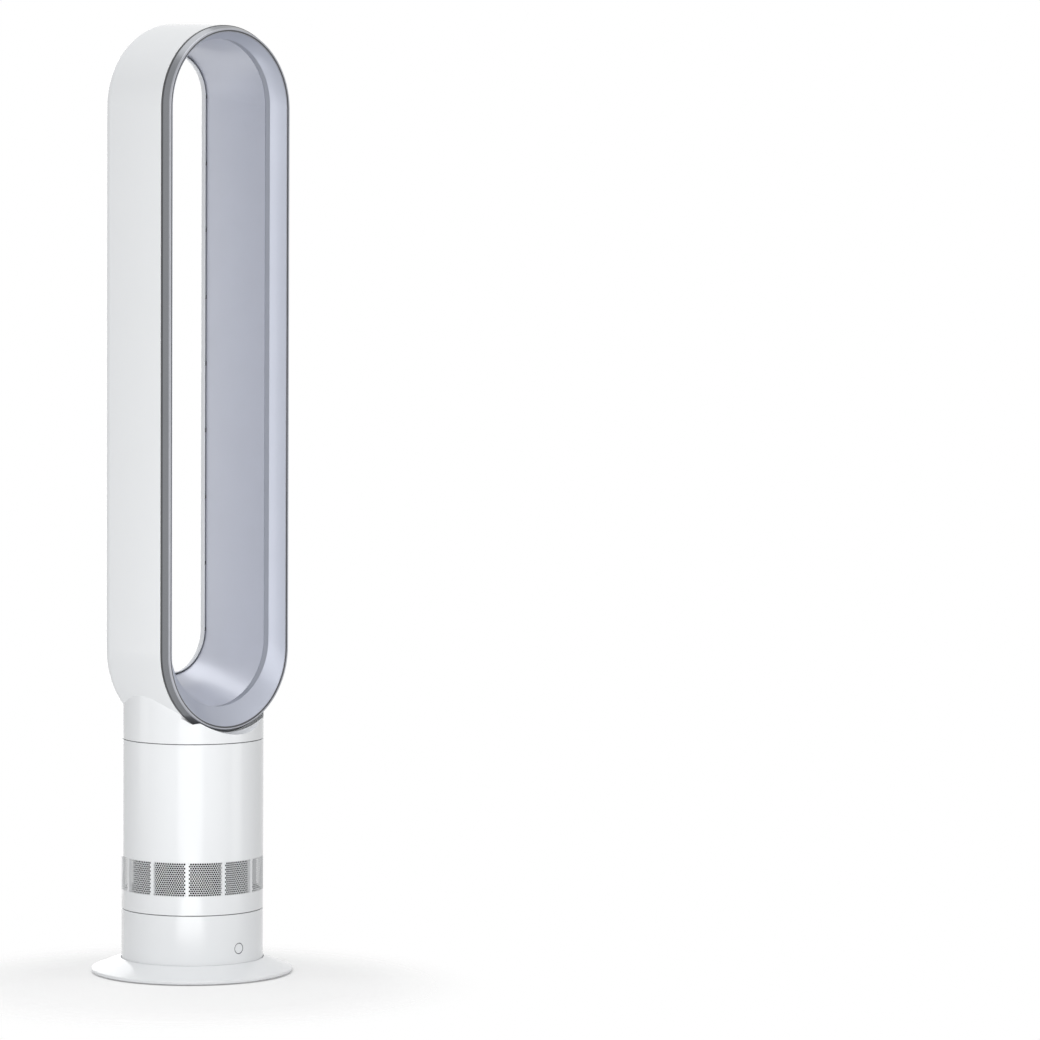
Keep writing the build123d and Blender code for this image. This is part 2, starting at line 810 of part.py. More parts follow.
with BuildPart() as ring_gear:
    ring(ring_gear_outer, hub_low + 2.0, turntable_low)
    with BuildSketch(Plane.XY.offset(hub_low + 2.0)) as tooth_spaces:
        with BuildLine():
            Polyline(
                *gear_outline(
                    ring_teeth,
                    ring_pitch_radius - gear_module,
                    ring_pitch_radius + 1.25 * gear_module,
                    backlash,
                ),
                close=True,
            )
        make_face()
    extrude(amount=turntable_low - hub_low - 2.0, mode=Mode.SUBTRACT)
    gear_screw_circle = ring_gear_outer - ring_gear_wall / 2
    gear_screw_places = on_circle(gear_screw_circle, gear_screw_count, 15.0)
    spots(gear_screw_places, gear_screw_radius + thread_gap, turntable_low - 6.5, turntable_low, Mode.SUBTRACT)
ring_gear.part.label = "ring_gear"
export_step(ring_gear.part, "parts/ring_gear.step")

# ---------------------------------------------------------------- tower
with BuildPart() as turntable:
    ring(casing_inner - fit_gap, turntable_low, turntable_top)
    ring(pivot_radius + hub_wall, hub_low, hub_top)
    ring(skirt_outer, slide_top + slide_film, turntable_low, skirt_inner)
    lip_outer = casing_inner - seam_lip_gap
    ring(lip_outer, turntable_low - seam_lip_drop, turntable_low, lip_outer - seam_lip_wall)
    ring(pivot_radius + running_gap, hub_low, hub_top, mode=Mode.SUBTRACT)
    spots(
        boss_places,
        screw_head_radius + head_gap,
        turntable_low - seam_lip_drop,
        turntable_low + recess_depth,
        Mode.SUBTRACT,
    )
    spots(boss_places, screw_radius + screw_hole_gap, turntable_low, turntable_top, Mode.SUBTRACT)
    spots(gear_screw_places, gear_screw_radius + screw_hole_gap, turntable_low, turntable_top, Mode.SUBTRACT)
turntable.part.label = "turntable"
export_step(turntable.part, "parts/turntable.step")

with BuildPart() as ring_gear_screws:
    screw_set(
        gear_screw_places,
        gear_screw_radius,
        gear_screw_head_radius,
        gear_screw_head,
        turntable_low - 6.0,
        turntable_top,
        upward=False,
    )
ring_gear_screws.part.label = "ring_gear_screws"
export_step(ring_gear_screws.part, "parts/ring_gear_screws.step")

with BuildPart() as casing_screws:
    screw_set(
        boss_places,
        screw_radius,
        screw_head_radius,
        screw_head,
        turntable_top + 9.0,
        turntable_low + recess_depth,
        upward=True,
    )
casing_screws.part.label = "casing_screws"
export_step(casing_screws.part, "parts/casing_screws.step")

window_middle = vent_low + vent_height / 2


def inlet_block(inset, inner, outer):
    """A piece of the round wall at the front, between two radii, this much smaller than a window."""
    half_angle = math.pi / vent_count - (vent_bar / 2 + inset) / column_radius
    reach = 2 * outer
    side_x = reach * math.sin(half_angle)
    side_y = -reach * math.cos(half_angle)
    with BuildSketch(Plane.XY.offset(vent_low + inset)) as wedge:
        with BuildLine():
            Polyline((0, 0), (-side_x, side_y), (side_x, side_y), close=True)
        make_face()
    extrude(wedge.sketch, amount=vent_height - 2 * inset)
    ring(outer, vent_low - vent_height, vent_low + 2 * vent_height, inner, Mode.INTERSECT)


with BuildPart() as window_cutter:
    inlet_block(0.0, casing_inner - 1.0, column_radius + 1.0)

with BuildPart() as main_casing:
    ring(column_radius, tower_low, casing_top, casing_inner)
    round_rim(main_casing, column_radius, tower_low)
    round_rim(main_casing, column_radius, casing_top)
    with PolarLocations(0, vent_count):
        add(window_cutter.part, mode=Mode.SUBTRACT)
    spots(boss_places, boss_radius, turntable_top, vent_low - mesh_flange - touch_gap)
    spots(boss_places, screw_radius + thread_gap, turntable_top, turntable_top + 11.0, Mode.SUBTRACT)
    ring(casing_inner + 0.5, shelf_low, shelf_top, shelf_inner)
    spots([(lead_x, 0)], lead_radius + lead_hole_gap, shelf_low, shelf_top, Mode.SUBTRACT)
    ring(casing_inner + 0.5, collar_low - ledge_thickness, collar_low, casing_inner - ledge_width)
main_casing.part.label = "main_casing"
export_step(main_casing.part, "parts/main_casing.step")

panel_back = casing_inner - mesh_thickness - fit_gap
with BuildPart() as panel_body:
    inlet_block(fit_gap, panel_back, column_radius)

with BuildPart() as panel_flange:
    inlet_block(-mesh_flange, panel_back, casing_inner - fit_gap)

with BuildPart() as panel_pocket:
    inlet_block(mesh_rim, panel_back - 1.0, column_radius - mesh_thickness)

with BuildPart() as inlet_panel:
    add(panel_body.part)
    add(panel_flange.part)
    add(panel_pocket.part, mode=Mode.SUBTRACT)
    row_gap = mesh_pitch * math.sqrt(3) / 2
    with BuildSketch(Plane.XZ.offset(casing_inner - 6.0)) as perforation:
        with Locations((0, window_middle)):
            with GridLocations(mesh_pitch, 2 * row_gap, mesh_columns + 1, mesh_rows + 1):
                Circle(mesh_hole_radius)
            with GridLocations(mesh_pitch, 2 * row_gap, mesh_columns, mesh_rows):
                Circle(mesh_hole_radius)
    extrude(amount=12.0, mode=Mode.SUBTRACT)

with BuildPart() as inlet_mesh_panels:
    with PolarLocations(0, vent_count):
        add(inlet_panel.part)
inlet_mesh_panels.part.label = "inlet_mesh_panels"
export_step(inlet_mesh_panels.part, "parts/inlet_mesh_panels.step")

with BuildPart() as lower_foam:
    ring(lower_foam_outer, turntable_top, vent_low + vent_height, lower_foam_inner)
    with BuildSketch(Plane.XY.offset(lead_cross_height - lead_radius - lead_hole_gap)) as lead_slot:
        with Locations((lower_foam_outer, 0)):
            Rectangle(4 * (lower_foam_outer - lower_foam_inner), 2 * (lead_radius + lead_hole_gap))
    extrude(amount=vent_height, mode=Mode.SUBTRACT)
lower_foam.part.label = "lower_foam"
export_step(lower_foam.part, "parts/lower_foam.step")

# ---------------------------------------------------------------- impeller housing
with BuildPart() as inlet_bell:
    with BuildSketch(Plane.XZ) as bell_wall:
        with BuildLine():
            bell_curve = JernArc(
                (housing_inlet_radius + fit_gap, housing_low), (0, -1), housing_low - bell_low - 1.0, 90
            )
            Line(bell_curve @ 1, (bell_radius, bell_low + 1.0))
            Line((bell_radius, bell_low + 1.0), (bell_radius, bell_low + 1.0 + housing_wall))
            upper_start = (
                housing_inlet_radius + fit_gap + housing_low - bell_low - 1.0,
                bell_low + 1.0 + housing_wall,
            )
            Line((bell_radius, bell_low + 1.0 + housing_wall), upper_start)
            RadiusArc(
                upper_start,
                (housing_inlet_radius + housing_wall + fit_gap, housing_low),
                housing_low - bell_low - 1.0 - housing_wall,
            )
            Line(
                (housing_inlet_radius + housing_wall + fit_gap, housing_low),
                (housing_inlet_radius + fit_gap, housing_low),
            )
        make_face()
    revolve(axis=Axis.Z)
    collar_inner = housing_inlet_radius + housing_wall + fit_gap
    ring(collar_inner + housing_wall, housing_low - 1.5, housing_low + bell_collar, collar_inner)
inlet_bell.part.label = "inlet_bell"
export_step(inlet_bell.part, "parts/inlet_bell.step")

with BuildPart() as impeller_housing:
    revolve(
        turned_profile(
            [
                (housing_inlet_radius, housing_low),
                (housing_inlet_radius, cone_low),
                (housing_outlet_radius, housing_cone_top),
                (housing_outlet_radius, housing_top),
                (housing_outlet_radius + housing_wall, housing_top),
                (housing_outlet_radius + housing_wall, housing_cone_top),
                (housing_inlet_radius + housing_wall, cone_low),
                (housing_inlet_radius + housing_wall, housing_low),
            ]
        ),
        axis=Axis.Z,
    )
    flange_inner = housing_inlet_radius + cone_slope * (housing_flange_low - cone_low) + 1.2 * housing_wall
    ring(
        casing_inner - housing_flange_gap,
        housing_flange_low,
        housing_flange_low + housing_flange,
        flange_inner,
    )
    spots(
        [(lead_x, 0)],
        lead_radius + lead_hole_gap,
        housing_flange_low,
        housing_flange_low + housing_flange,
        Mode.SUBTRACT,
    )
impeller_housing.part.label = "impeller_housing"
export_step(impeller_housing.part, "parts/impeller_housing.step")

with BuildPart() as housing_mounts:
    posts(mount_circle, mount_count, mount_radius, shelf_top, housing_flange_low, 90)
housing_mounts.part.label = "housing_mounts"
export_step(housing_mounts.part, "parts/housing_mounts.step")

with BuildPart() as inlet_seal:
    ring(seal_inner + seal_wall, shelf_top, housing_flange_low, seal_inner)
inlet_seal.part.label = "inlet_seal"
export_step(inlet_seal.part, "parts/inlet_seal.step")

with BuildPart() as upper_foam:
    foam_low = housing_flange_low + housing_flange
    ring(
        casing_inner - upper_foam_gap,
        foam_low,
        upper_foam_top,
        housing_outlet_radius + housing_wall + upper_foam_inner_gap,
    )
    spots([(lead_x, 0)], lead_radius + lead_hole_gap, foam_low, upper_foam_top, Mode.SUBTRACT)
upper_foam.part.label = "upper_foam"
export_step(upper_foam.part, "parts/upper_foam.step")

# ---------------------------------------------------------------- impeller
blade_sections = 3
with BuildPart() as blade:
    for section in range(blade_sections):
        share = section / (blade_sections - 1)
        height = impeller_low + share * (impeller_top - impeller_low)
        blade_inner = hub_nose_radius + hub_slope * (height - impeller_low) - blade_root
        blade_outer = housing_inlet_radius + cone_slope * max(height - cone_low, 0) - blade_gap
        with BuildSketch(Plane.XY.offset(height).rotated((0, 0, share * blade_turn))):
            with Locations(((blade_inner + blade_outer) / 2, 0)):
                Rectangle(blade_outer - blade_inner, blade_thickness)
    loft(ruled=True)

with BuildPart() as impeller:
    revolve(
        turned_profile(
            [
                (shaft_radius + thread_gap, impeller_low - 1.0),
                (hub_nose_radius - 1.0, impeller_low - 1.0),
                (hub_nose_radius, impeller_low),
                (hub_back_radius, impeller_top),
                (hub_back_radius - hub_shell, impeller_top),
                (hub_boss_radius + hub_shell, impeller_low + 3 * hub_shell),
                (hub_boss_radius, impeller_low + 3 * hub_shell),
                (hub_boss_radius, hub_boss_top),
                (shaft_radius + thread_gap, hub_boss_top),
            ]
        ),
        axis=Axis.Z,
    )
    with PolarLocations(0, blade_count):
        add(blade.part)
    revolve(
        turned_profile(
            [
                (hub_boss_radius, impeller_top + 1.0),
                (hub_boss_radius, impeller_low + 3 * hub_shell),
                (hub_boss_radius + hub_shell, impeller_low + 3 * hub_shell),
                (hub_back_radius - hub_shell, impeller_top),
                (hub_back_radius - hub_shell, impeller_top + 1.0),
            ]
        ),
        axis=Axis.Z,
        mode=Mode.SUBTRACT,
    )
    ring(shaft_radius + thread_gap, impeller_low - 2.0, impeller_top, mode=Mode.SUBTRACT)
impeller.part.label = "impeller"
export_step(impeller.part, "parts/impeller.step")

with BuildPart() as motor_shaft:
    ring(shaft_radius, shaft_low, shaft_top)
    chamfer(motor_shaft.edges().filter_by(GeomType.CIRCLE), length=0.15 * shaft_radius)
motor_shaft.part.label = "motor_shaft"
export_step(motor_shaft.part, "parts/motor_shaft.step")

with BuildPart() as impeller_nut:
    nut_top = impeller_low - 1.0
    with BuildSketch(Plane.XY.offset(nut_top - nut_height)):
        RegularPolygon(nut_radius, 6)
        Circle(shaft_radius + thread_gap, mode=Mode.SUBTRACT)
    extrude(amount=nut_height)
impeller_nut.part.label = "impeller_nut"
export_step(impeller_nut.part, "parts/impeller_nut.step")

with BuildPart() as rotor_magnet:
    rotor_low = stator_low - (rotor_height - stator_height) / 2
    ring(rotor_radius, rotor_low, rotor_low + rotor_height, shaft_radius + thread_gap)
rotor_magnet.part.label = "rotor_magnet"
export_step(rotor_magnet.part, "parts/rotor_magnet.step")

# ---------------------------------------------------------------- motor
lower_bearing_low = bucket_low + bucket_floor
upper_bearing_low = bucket_top - bearing_height
with BuildPart() as motor_bucket:
    ring(bucket_radius, bucket_low, bucket_top, bucket_radius - bucket_wall)
    ring(bucket_radius - bucket_wall, bucket_low, lower_bearing_low, bearing_floor_hole)
    ring(
        bearing_radius + bearing_boss_wall,
        lower_bearing_low,
        lower_bearing_low + bearing_height,
        bearing_radius + fit_gap,
    )
    ring(
        bucket_radius - bucket_wall,
        lower_bearing_low,
        stator_low,
        bucket_radius - bucket_wall - bucket_ledge,
    )
motor_bucket.part.label = "motor_bucket"
export_step(motor_bucket.part, "parts/motor_bucket.step")

with BuildPart() as motor_bearings:
    for bearing_low in (lower_bearing_low, upper_bearing_low):
        ring(bearing_radius, bearing_low, bearing_low + bearing_height, shaft_radius + running_gap)
motor_bearings.part.label = "motor_bearings"
export_step(motor_bearings.part, "parts/motor_bearings.step")

board_post_places = on_circle(bucket_radius - 3 * bucket_wall, 3, 60.0)
with BuildPart() as bucket_cap:
    revolve(
        turned_profile(
            [
                (0, bucket_top + touch_gap + bearing_boss_wall),
                (bearing_floor_hole, bucket_top + cap_thickness),
                (bearing_floor_hole, bucket_top),
                (bucket_radius, bucket_top),
                (bucket_radius, bucket_top + cap_thickness),
                (0.6 * bucket_radius, bucket_top + cap_thickness + 0.7 * cap_dome),
                (0, bucket_top + cap_thickness + cap_dome),
            ]
        ),
        axis=Axis.Z,
    )
    ring(bearing_radius + bearing_boss_wall, upper_bearing_low, bucket_top, bearing_radius + fit_gap)
    spots(board_post_places, motor_board_post, motor_board_low + motor_board_thickness, bucket_top)
    spots(
        [(lead_cap_x, 0)],
        lead_radius + fit_gap,
        bucket_top - 1.0,
        bucket_top + cap_thickness + cap_dome,
        Mode.SUBTRACT,
    )
bucket_cap.part.label = "bucket_cap"
export_step(bucket_cap.part, "parts/bucket_cap.step")

with BuildPart() as motor_board:
    ring(
        bucket_radius - bucket_wall - touch_gap,
        motor_board_low,
        motor_board_low + motor_board_thickness,
        bearing_radius + bearing_boss_wall + touch_gap,
    )
motor_board.part.label = "motor_board"
export_step(motor_board.part, "parts/motor_board.step")

tooth_inner = rotor_radius + air_gap
with BuildPart() as motor_stator:
    with BuildSketch(Plane.XY.offset(stator_low)):
        Circle(stator_outer)
        Circle(stator_outer - stator_yoke, mode=Mode.SUBTRACT)
        with PolarLocations((tooth_inner + stator_outer - stator_yoke / 2) / 2, tooth_count):
            Rectangle(stator_outer - stator_yoke / 2 - tooth_inner, tooth_width)
    extrude(amount=stator_height)
motor_stator.part.label = "motor_stator"
export_step(motor_stator.part, "parts/motor_stator.step")

with BuildPart() as coil:
    with BuildSketch(Plane.YZ.offset(coil_inner)):
        with Locations((0, stator_low + stator_height / 2)):
            Rectangle(tooth_width + 2 * coil_wall, stator_height + coil_wall + fit_gap)
            Rectangle(tooth_width + 2 * fit_gap, stator_height + 2 * fit_gap, mode=Mode.SUBTRACT)
    extrude(amount=coil_outer - coil_inner)
    fillet(coil.edges().filter_by(Axis.X), radius=0.04 * tooth_width)

with BuildPart() as motor_coils:
    with PolarLocations(0, tooth_count):
        add(coil.part)
motor_coils.part.label = "motor_coils"
export_step(motor_coils.part, "parts/motor_coils.step")

vane_inner = bucket_radius + fit_gap
vane_outer = housing_outlet_radius - fit_gap
with BuildPart() as vane:
    for section in range(blade_sections):
        share = section / (blade_sections - 1)
        height = vane_low + share * (vane_top - vane_low)
        with BuildSketch(Plane.XY.offset(height).rotated((0, 0, (1 - share) ** 2 * vane_turn))):
            with Locations(((vane_inner + vane_outer + 1.0) / 2, 0)):
                Rectangle(vane_outer - vane_inner + 1.0, vane_thickness)
    loft(ruled=True)

with BuildPart() as diffuser:
    with PolarLocations(0, vane_count):
        add(vane.part)
    ring(vane_inner + vane_ring_wall, vane_low, vane_top)
    ring(vane_outer, vane_low, vane_top, mode=Mode.INTERSECT)
    ring(vane_inner, vane_low, vane_top, mode=Mode.SUBTRACT)
diffuser.part.label = "diffuser"
export_step(diffuser.part, "parts/diffuser.step")

with BuildPart() as motor_lead:
    with BuildLine() as lead_route:
        FilletPolyline(
            (0, 0, lead_low),
            (0, 0, lead_cross_height),
            (lead_x, 0, lead_cross_height),
            (lead_x, 0, lead_over_height),
            (lead_cap_x, 0, lead_over_height),
            (lead_cap_x, 0, lead_end),
            radius=lead_bend,
        )
    with BuildSketch(Plane.XY.offset(lead_low)):
        Circle(lead_radius)
    sweep()
motor_lead.part.label = "motor_lead"
export_step(motor_lead.part, "parts/motor_lead.step")

# ---------------------------------------------------------------- neck joint
with BuildPart() as neck_collar:
    ring(collar_outer, collar_low, collar_top, collar_outer - collar_wall)
neck_collar.part.label = "neck_collar"
export_step(neck_collar.part, "parts/neck_collar.step")

with BuildPart() as neck_seal:
    ring(collar_outer, collar_top, collar_top + neck_seal_height, collar_outer - collar_wall)
neck_seal.part.label = "neck_seal"
export_step(neck_seal.part, "parts/neck_seal.step")

# ---------------------------------------------------------------- loop
with BuildPart() as shell_block:
    loop_block(
        [
            (shell_front, shell_front_half_width, loop_centres),
            (-shell_back, shell_back_half_width, loop_centres),
        ]
    )
    fillet(shell_block.edges().group_by(Axis.Y)[-1], radius=shell_back_fillet)
    fillet(shell_block.edges().group_by(Axis.Y)[0], radius=edge_round)

with BuildPart() as shell_cavity:
    loop_block(
        [
            (shell_front, shell_front_half_width - shell_wall, loop_centres),
            (-shell_back + shell_wall, shell_back_half_width - shell_wall, loop_centres),
        ]
    )
    fillet(shell_cavity.edges().group_by(Axis.Y)[-1], radius=shell_back_fillet - shell_wall)

saddle_crest_half_width = ring_front_half_width + ring_shadow_gap
pocket_half_width = shell_front_half_width + ring_pocket_gap
neck_ceiling_half_width = shell_back_half_width + touch_gap
pocket_floor_half_width = pocket_half_width + shell_wall + touch_gap
with BuildPart() as neck_room:
    ring(casing_inner, neck_low, neck_throat_top)
    loop_block(
        [
            (column_radius, neck_ceiling_half_width, loop_centres),
            (ring_front + 2 * saddle_crest_lead, neck_ceiling_half_width, loop_centres),
            (ring_front, pocket_floor_half_width, loop_centres),
            (shell_front - 2 * shell_wall, pocket_floor_half_width, loop_centres),
            (shell_front - 4 * shell_wall, neck_ceiling_half_width, loop_centres),
            (-column_radius, neck_ceiling_half_width, loop_centres),
        ],
        mode=Mode.SUBTRACT,
    )

with BuildPart() as neck_throat:
    ring(neck_throat_radius, neck_low, neck_throat_top)
    with BuildSketch(Plane.XY.offset(neck_low)) as throat_band:
        with Locations((0, (shell_back - shell_front) / 2)):
            Rectangle(2 * column_radius, shell_back + shell_front - 2 * shell_wall)
    extrude(amount=neck_throat_top - neck_low, mode=Mode.INTERSECT)


def lip_outline(height):
    """The rear lip's wall: straight at the air slit, then a quarter round that opens out to the back."""
    flare_end = lip_half_width + lip_flare
    bend = shell_back - lip_flare
    slant = math.sqrt(0.5)
    inner_radius = lip_flare - lip_wall
    with BuildSketch(Plane.XY.offset(height)) as outline:
        with BuildLine():
            Line((lip_half_width, -lip_front), (lip_half_width, bend))
            ThreePointArc(
                (lip_half_width, bend),
                (flare_end - slant * lip_flare, bend + slant * lip_flare),
                (flare_end, shell_back),
            )
            Line((flare_end, shell_back), (flare_end + lip_wall, shell_back))
            Line((flare_end + lip_wall, shell_back), (flare_end + lip_wall, shell_back - lip_wall))
            Line((flare_end + lip_wall, shell_back - lip_wall), (flare_end, shell_back - lip_wall))
            ThreePointArc(
                (flare_end, shell_back - lip_wall),
                (flare_end - slant * inner_radius, bend + slant * inner_radius),
                (lip_half_width + lip_wall, bend),
            )
            Line((lip_half_width + lip_wall, bend), (lip_half_width + lip_wall, -lip_front))
            Line((lip_half_width + lip_wall, -lip_front), (lip_half_width, -lip_front))
        make_face()
    return outline.sketch


with BuildPart() as rear_lip:
    swept_loop(lip_outline, slit_centres)

with BuildPart() as loop_shell:
    ring(column_radius, neck_low, neck_throat_top + 3.0)
    round_rim(loop_shell, column_radius, neck_low)
    loop_block(
        [
            (column_radius + 1.0, saddle_crest_half_width + saddle_fall, loop_centres),
            (ring_front + saddle_crest_lead, saddle_crest_half_width, loop_centres),
            (ring_front - 2.0, pocket_half_width, loop_centres),
            (shell_front, pocket_half_width, loop_centres),
        ],
        mode=Mode.SUBTRACT,
    )
    loop_block(
        [
            (-shell_back, shell_back_half_width, loop_centres),
            (-column_radius - 1.0, shell_back_half_width, loop_centres),
        ],
        mode=Mode.SUBTRACT,
    )
    add(shell_block.part)
    add(shell_cavity.part, mode=Mode.SUBTRACT)
    add(neck_room.part, mode=Mode.SUBTRACT)
    add(neck_throat.part, mode=Mode.SUBTRACT)
    loop_block(
        [
            (-shell_back + 2 * shell_wall, lip_half_width + lip_flare, slit_centres),
            (-shell_back - 1.0, lip_half_width + lip_flare, slit_centres),
        ],
        mode=Mode.SUBTRACT,
    )
    add(rear_lip.part)
loop_shell.part.label = "loop_shell"
export_step(loop_shell.part, "parts/loop_shell.step")

slit_half_width = lip_half_width + lip_wall + slit_width
with BuildPart() as loop_inner_ring:
    curl_depth = lip_front - inner_ring_curl
    loop_block(
        [
            (inner_ring_front, ring_throat_half_width + inner_ring_wall, throat_centres),
            (lip_front + 2.0, slit_half_width + 1.3 * inner_ring_wall, slit_centres),
            (lip_front - 2.0, slit_half_width + 1.6 * inner_ring_wall, slit_centres),
            (curl_depth, slit_half_width + 2.8 * inner_ring_wall, slit_centres),
        ]
    )
    loop_block(
        [
            (inner_ring_front, ring_throat_half_width, throat_centres),
            (lip_front, slit_half_width, slit_centres),
            (lip_front - 2.5, slit_half_width + 0.4, slit_centres),
            (curl_depth, slit_half_width + 1.8 * inner_ring_wall, slit_centres),
        ],
        mode=Mode.SUBTRACT,
    )
loop_inner_ring.part.label = "loop_inner_ring"
export_step(loop_inner_ring.part, "parts/loop_inner_ring.step")

ring_back = shell_front + seam_gap
band_slope = (shell_front_half_width - ring_front_half_width) / (ring_front - shell_front)
ring_back_half_width = shell_front_half_width - band_slope * seam_gap
tongue_half_width = shell_front_half_width - shell_wall - fit_gap
with BuildPart() as ring_outer_band:
    loop_block(
        [
            (ring_front, ring_front_half_width, loop_centres),
            (ring_back, ring_back_half_width, loop_centres),
        ]
    )
    fillet(ring_outer_band.edges().group_by(Axis.Y)[-1], radius=edge_round)
    fillet(ring_outer_band.edges().group_by(Axis.Y)[0], radius=edge_round)
    loop_block(
        [
            (ring_back, tongue_half_width, loop_centres),
            (ring_tongue_back, tongue_half_width, loop_centres),
        ]
    )
    loop_block(
        [
            (ring_front - ring_wall, ring_front_half_width - ring_wall, loop_centres),
            (ring_back, tongue_half_width - ring_wall, loop_centres),
            (ring_tongue_back, tongue_half_width - ring_wall, loop_centres),
        ],
        mode=Mode.SUBTRACT,
    )

sleeve_inner = ring_throat_half_width + inner_ring_wall + fit_gap
throat_band_back = inner_ring_front + touch_gap
with BuildPart() as loop_front_ring:
    add(ring_outer_band.part)
    loop_block(
        [
            (ring_front - ring_nose, ring_front_half_width - ring_nose, loop_centres),
            (ring_flare_back, ring_throat_half_width + ring_wall, throat_centres),
            (throat_band_back, ring_throat_half_width + ring_wall, throat_centres),
        ]
    )
    loop_block(
        [
            (ring_flare_back, sleeve_inner + ring_wall, throat_centres),
            (ring_sleeve_back, sleeve_inner + ring_wall, throat_centres),
        ]
    )
    loop_block(
        [
            (throat_band_back, sleeve_inner, throat_centres),
            (ring_sleeve_back, sleeve_inner, throat_centres),
        ],
        mode=Mode.SUBTRACT,
    )
    loop_block(
        [
            (ring_front, ring_front_half_width - ring_nose, loop_centres),
            (ring_flare_back, ring_throat_half_width, throat_centres),
            (ring_sleeve_back, ring_throat_half_width, throat_centres),
        ],
        mode=Mode.SUBTRACT,
    )
loop_front_ring.part.label = "loop_front_ring"
export_step(loop_front_ring.part, "parts/loop_front_ring.step")

with BuildPart() as slit_spacers:
    spacer_gap = 0.2
    spacer_inner = lip_half_width + lip_wall + spacer_gap
    spacer_width = slit_width - 2 * spacer_gap
    spacer_step = (slit_centres[1] - slit_centres[0]) / (spacer_count - 1)
    spacer_middle = (slit_centres[0] + slit_centres[1]) / 2
    with BuildSketch(Plane.XZ.offset(lip_front - spacer_depth)) as spacer_ends:
        for side in (-1, 1):
            with Locations((side * (spacer_inner + spacer_width / 2), spacer_middle)):
                with GridLocations(spacer_width, spacer_step, 1, spacer_count):
                    Rectangle(spacer_width, spacer_height)
    extrude(amount=spacer_depth)
slit_spacers.part.label = "slit_spacers"
export_step(slit_spacers.part, "parts/slit_spacers.step")

with BuildPart() as flow_divider:
    with BuildSketch(Plane.XZ.offset(divider_back)) as wedge:
        with BuildLine():
            Polyline(
                (0, divider_low),
                (divider_half_width, divider_top),
                (divider_half_width - 1.2 * divider_wall, divider_top),
                (0, divider_low + 2.4 * divider_wall),
                (-divider_half_width + 1.2 * divider_wall, divider_top),
                (-divider_half_width, divider_top),
                close=True,
            )
        make_face()
    extrude(amount=divider_front - divider_back)
    loop_block(
        [
            (
                inner_ring_front,
                ring_throat_half_width + inner_ring_wall + touch_gap,
                throat_centres,
            ),
            (
                lip_front + 2.0,
                slit_half_width + 1.3 * inner_ring_wall + touch_gap,
                slit_centres,
            ),
        ],
        mode=Mode.SUBTRACT,
    )
flow_divider.part.label = "flow_divider"
export_step(flow_divider.part, "parts/flow_divider.step")
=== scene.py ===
"""Looks of the bladeless tower fan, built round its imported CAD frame."""

import json
import logging
import math
from dataclasses import dataclass
from enum import Enum
from typing import Any, Optional

import bmesh
import bpy
from mathutils import Matrix, Vector


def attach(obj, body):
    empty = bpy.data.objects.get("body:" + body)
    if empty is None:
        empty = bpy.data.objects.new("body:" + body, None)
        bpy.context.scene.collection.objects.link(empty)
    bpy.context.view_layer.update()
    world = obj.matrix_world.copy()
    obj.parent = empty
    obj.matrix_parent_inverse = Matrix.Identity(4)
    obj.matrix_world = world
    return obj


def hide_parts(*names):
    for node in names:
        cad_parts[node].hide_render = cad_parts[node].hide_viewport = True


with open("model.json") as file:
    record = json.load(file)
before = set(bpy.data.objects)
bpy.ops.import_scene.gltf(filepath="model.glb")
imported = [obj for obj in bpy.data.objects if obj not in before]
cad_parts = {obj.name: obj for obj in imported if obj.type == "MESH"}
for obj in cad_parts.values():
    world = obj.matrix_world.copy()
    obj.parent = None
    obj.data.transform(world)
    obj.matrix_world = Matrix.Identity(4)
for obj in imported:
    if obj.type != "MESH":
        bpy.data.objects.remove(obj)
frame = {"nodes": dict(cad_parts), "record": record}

MM = 0.001
PHOTO_SIDE = 1040.0
MATH = "ShaderNodeMath"
NOISE = "ShaderNodeTexNoise"
BUMP = "ShaderNodeBump"
MAP_RANGE = "ShaderNodeMapRange"
PRINCIPLED = "ShaderNodeBsdfPrincipled"

Point = tuple[float, float, float]

log = logging.getLogger("tower_fan")


# ---------------------------------------------------------------- helpers
def linear(code: str) -> tuple[float, float, float, float]:
    """Turns an sRGB hex colour into linear values.

    Args:
        code: six hex digits, such as "F4F5F6".

    Returns:
        Linear red, green and blue, with an alpha of 1.
    """
    parts = [int(code[i : i + 2], 16) / 255 for i in (0, 2, 4)]
    red, green, blue = (
        p / 12.92 if p <= 0.04045 else ((p + 0.055) / 1.055) ** 2.4 for p in parts
    )
    return (red, green, blue, 1.0)


def shaded(code: str, share: float) -> tuple[float, float, float, float]:
    """Scales the linear values of an sRGB hex colour.

    Args:
        code: six hex digits.
        share: what red, green and blue are multiplied by.

    Returns:
        Linear red, green and blue, with an alpha of 1.
    """
    red, green, blue, alpha = linear(code)
    return (red * share, green * share, blue * share, alpha)


def add_node(
    tree: bpy.types.NodeTree,
    kind: str,
    settings: Optional[dict[str, Any]] = None,
    inputs: dict[str, Any] | tuple[Any, ...] = (),
) -> bpy.types.Node:
    """Adds one node with its settings and with what its inputs take.

    Args:
        tree: the node tree to add to.
        kind: the node's type name.
        settings: attributes of the node itself.
        inputs: what the inputs take, by name or in order: a constant, another node's output
            socket, or another node, which stands for its first output in use.

    Returns:
        The new node.
    """
    node = tree.nodes.new(kind)
    for name, value in (settings or {}).items():
        setattr(node, name, value)
    for key, value in inputs.items() if isinstance(inputs, dict) else enumerate(inputs):
        if isinstance(value, bpy.types.Node):
            value = next(socket for socket in value.outputs if socket.enabled)
        if isinstance(value, bpy.types.NodeSocket):
            tree.links.new(value, node.inputs[key])
        else:
            node.inputs[key].default_value = value
    return node


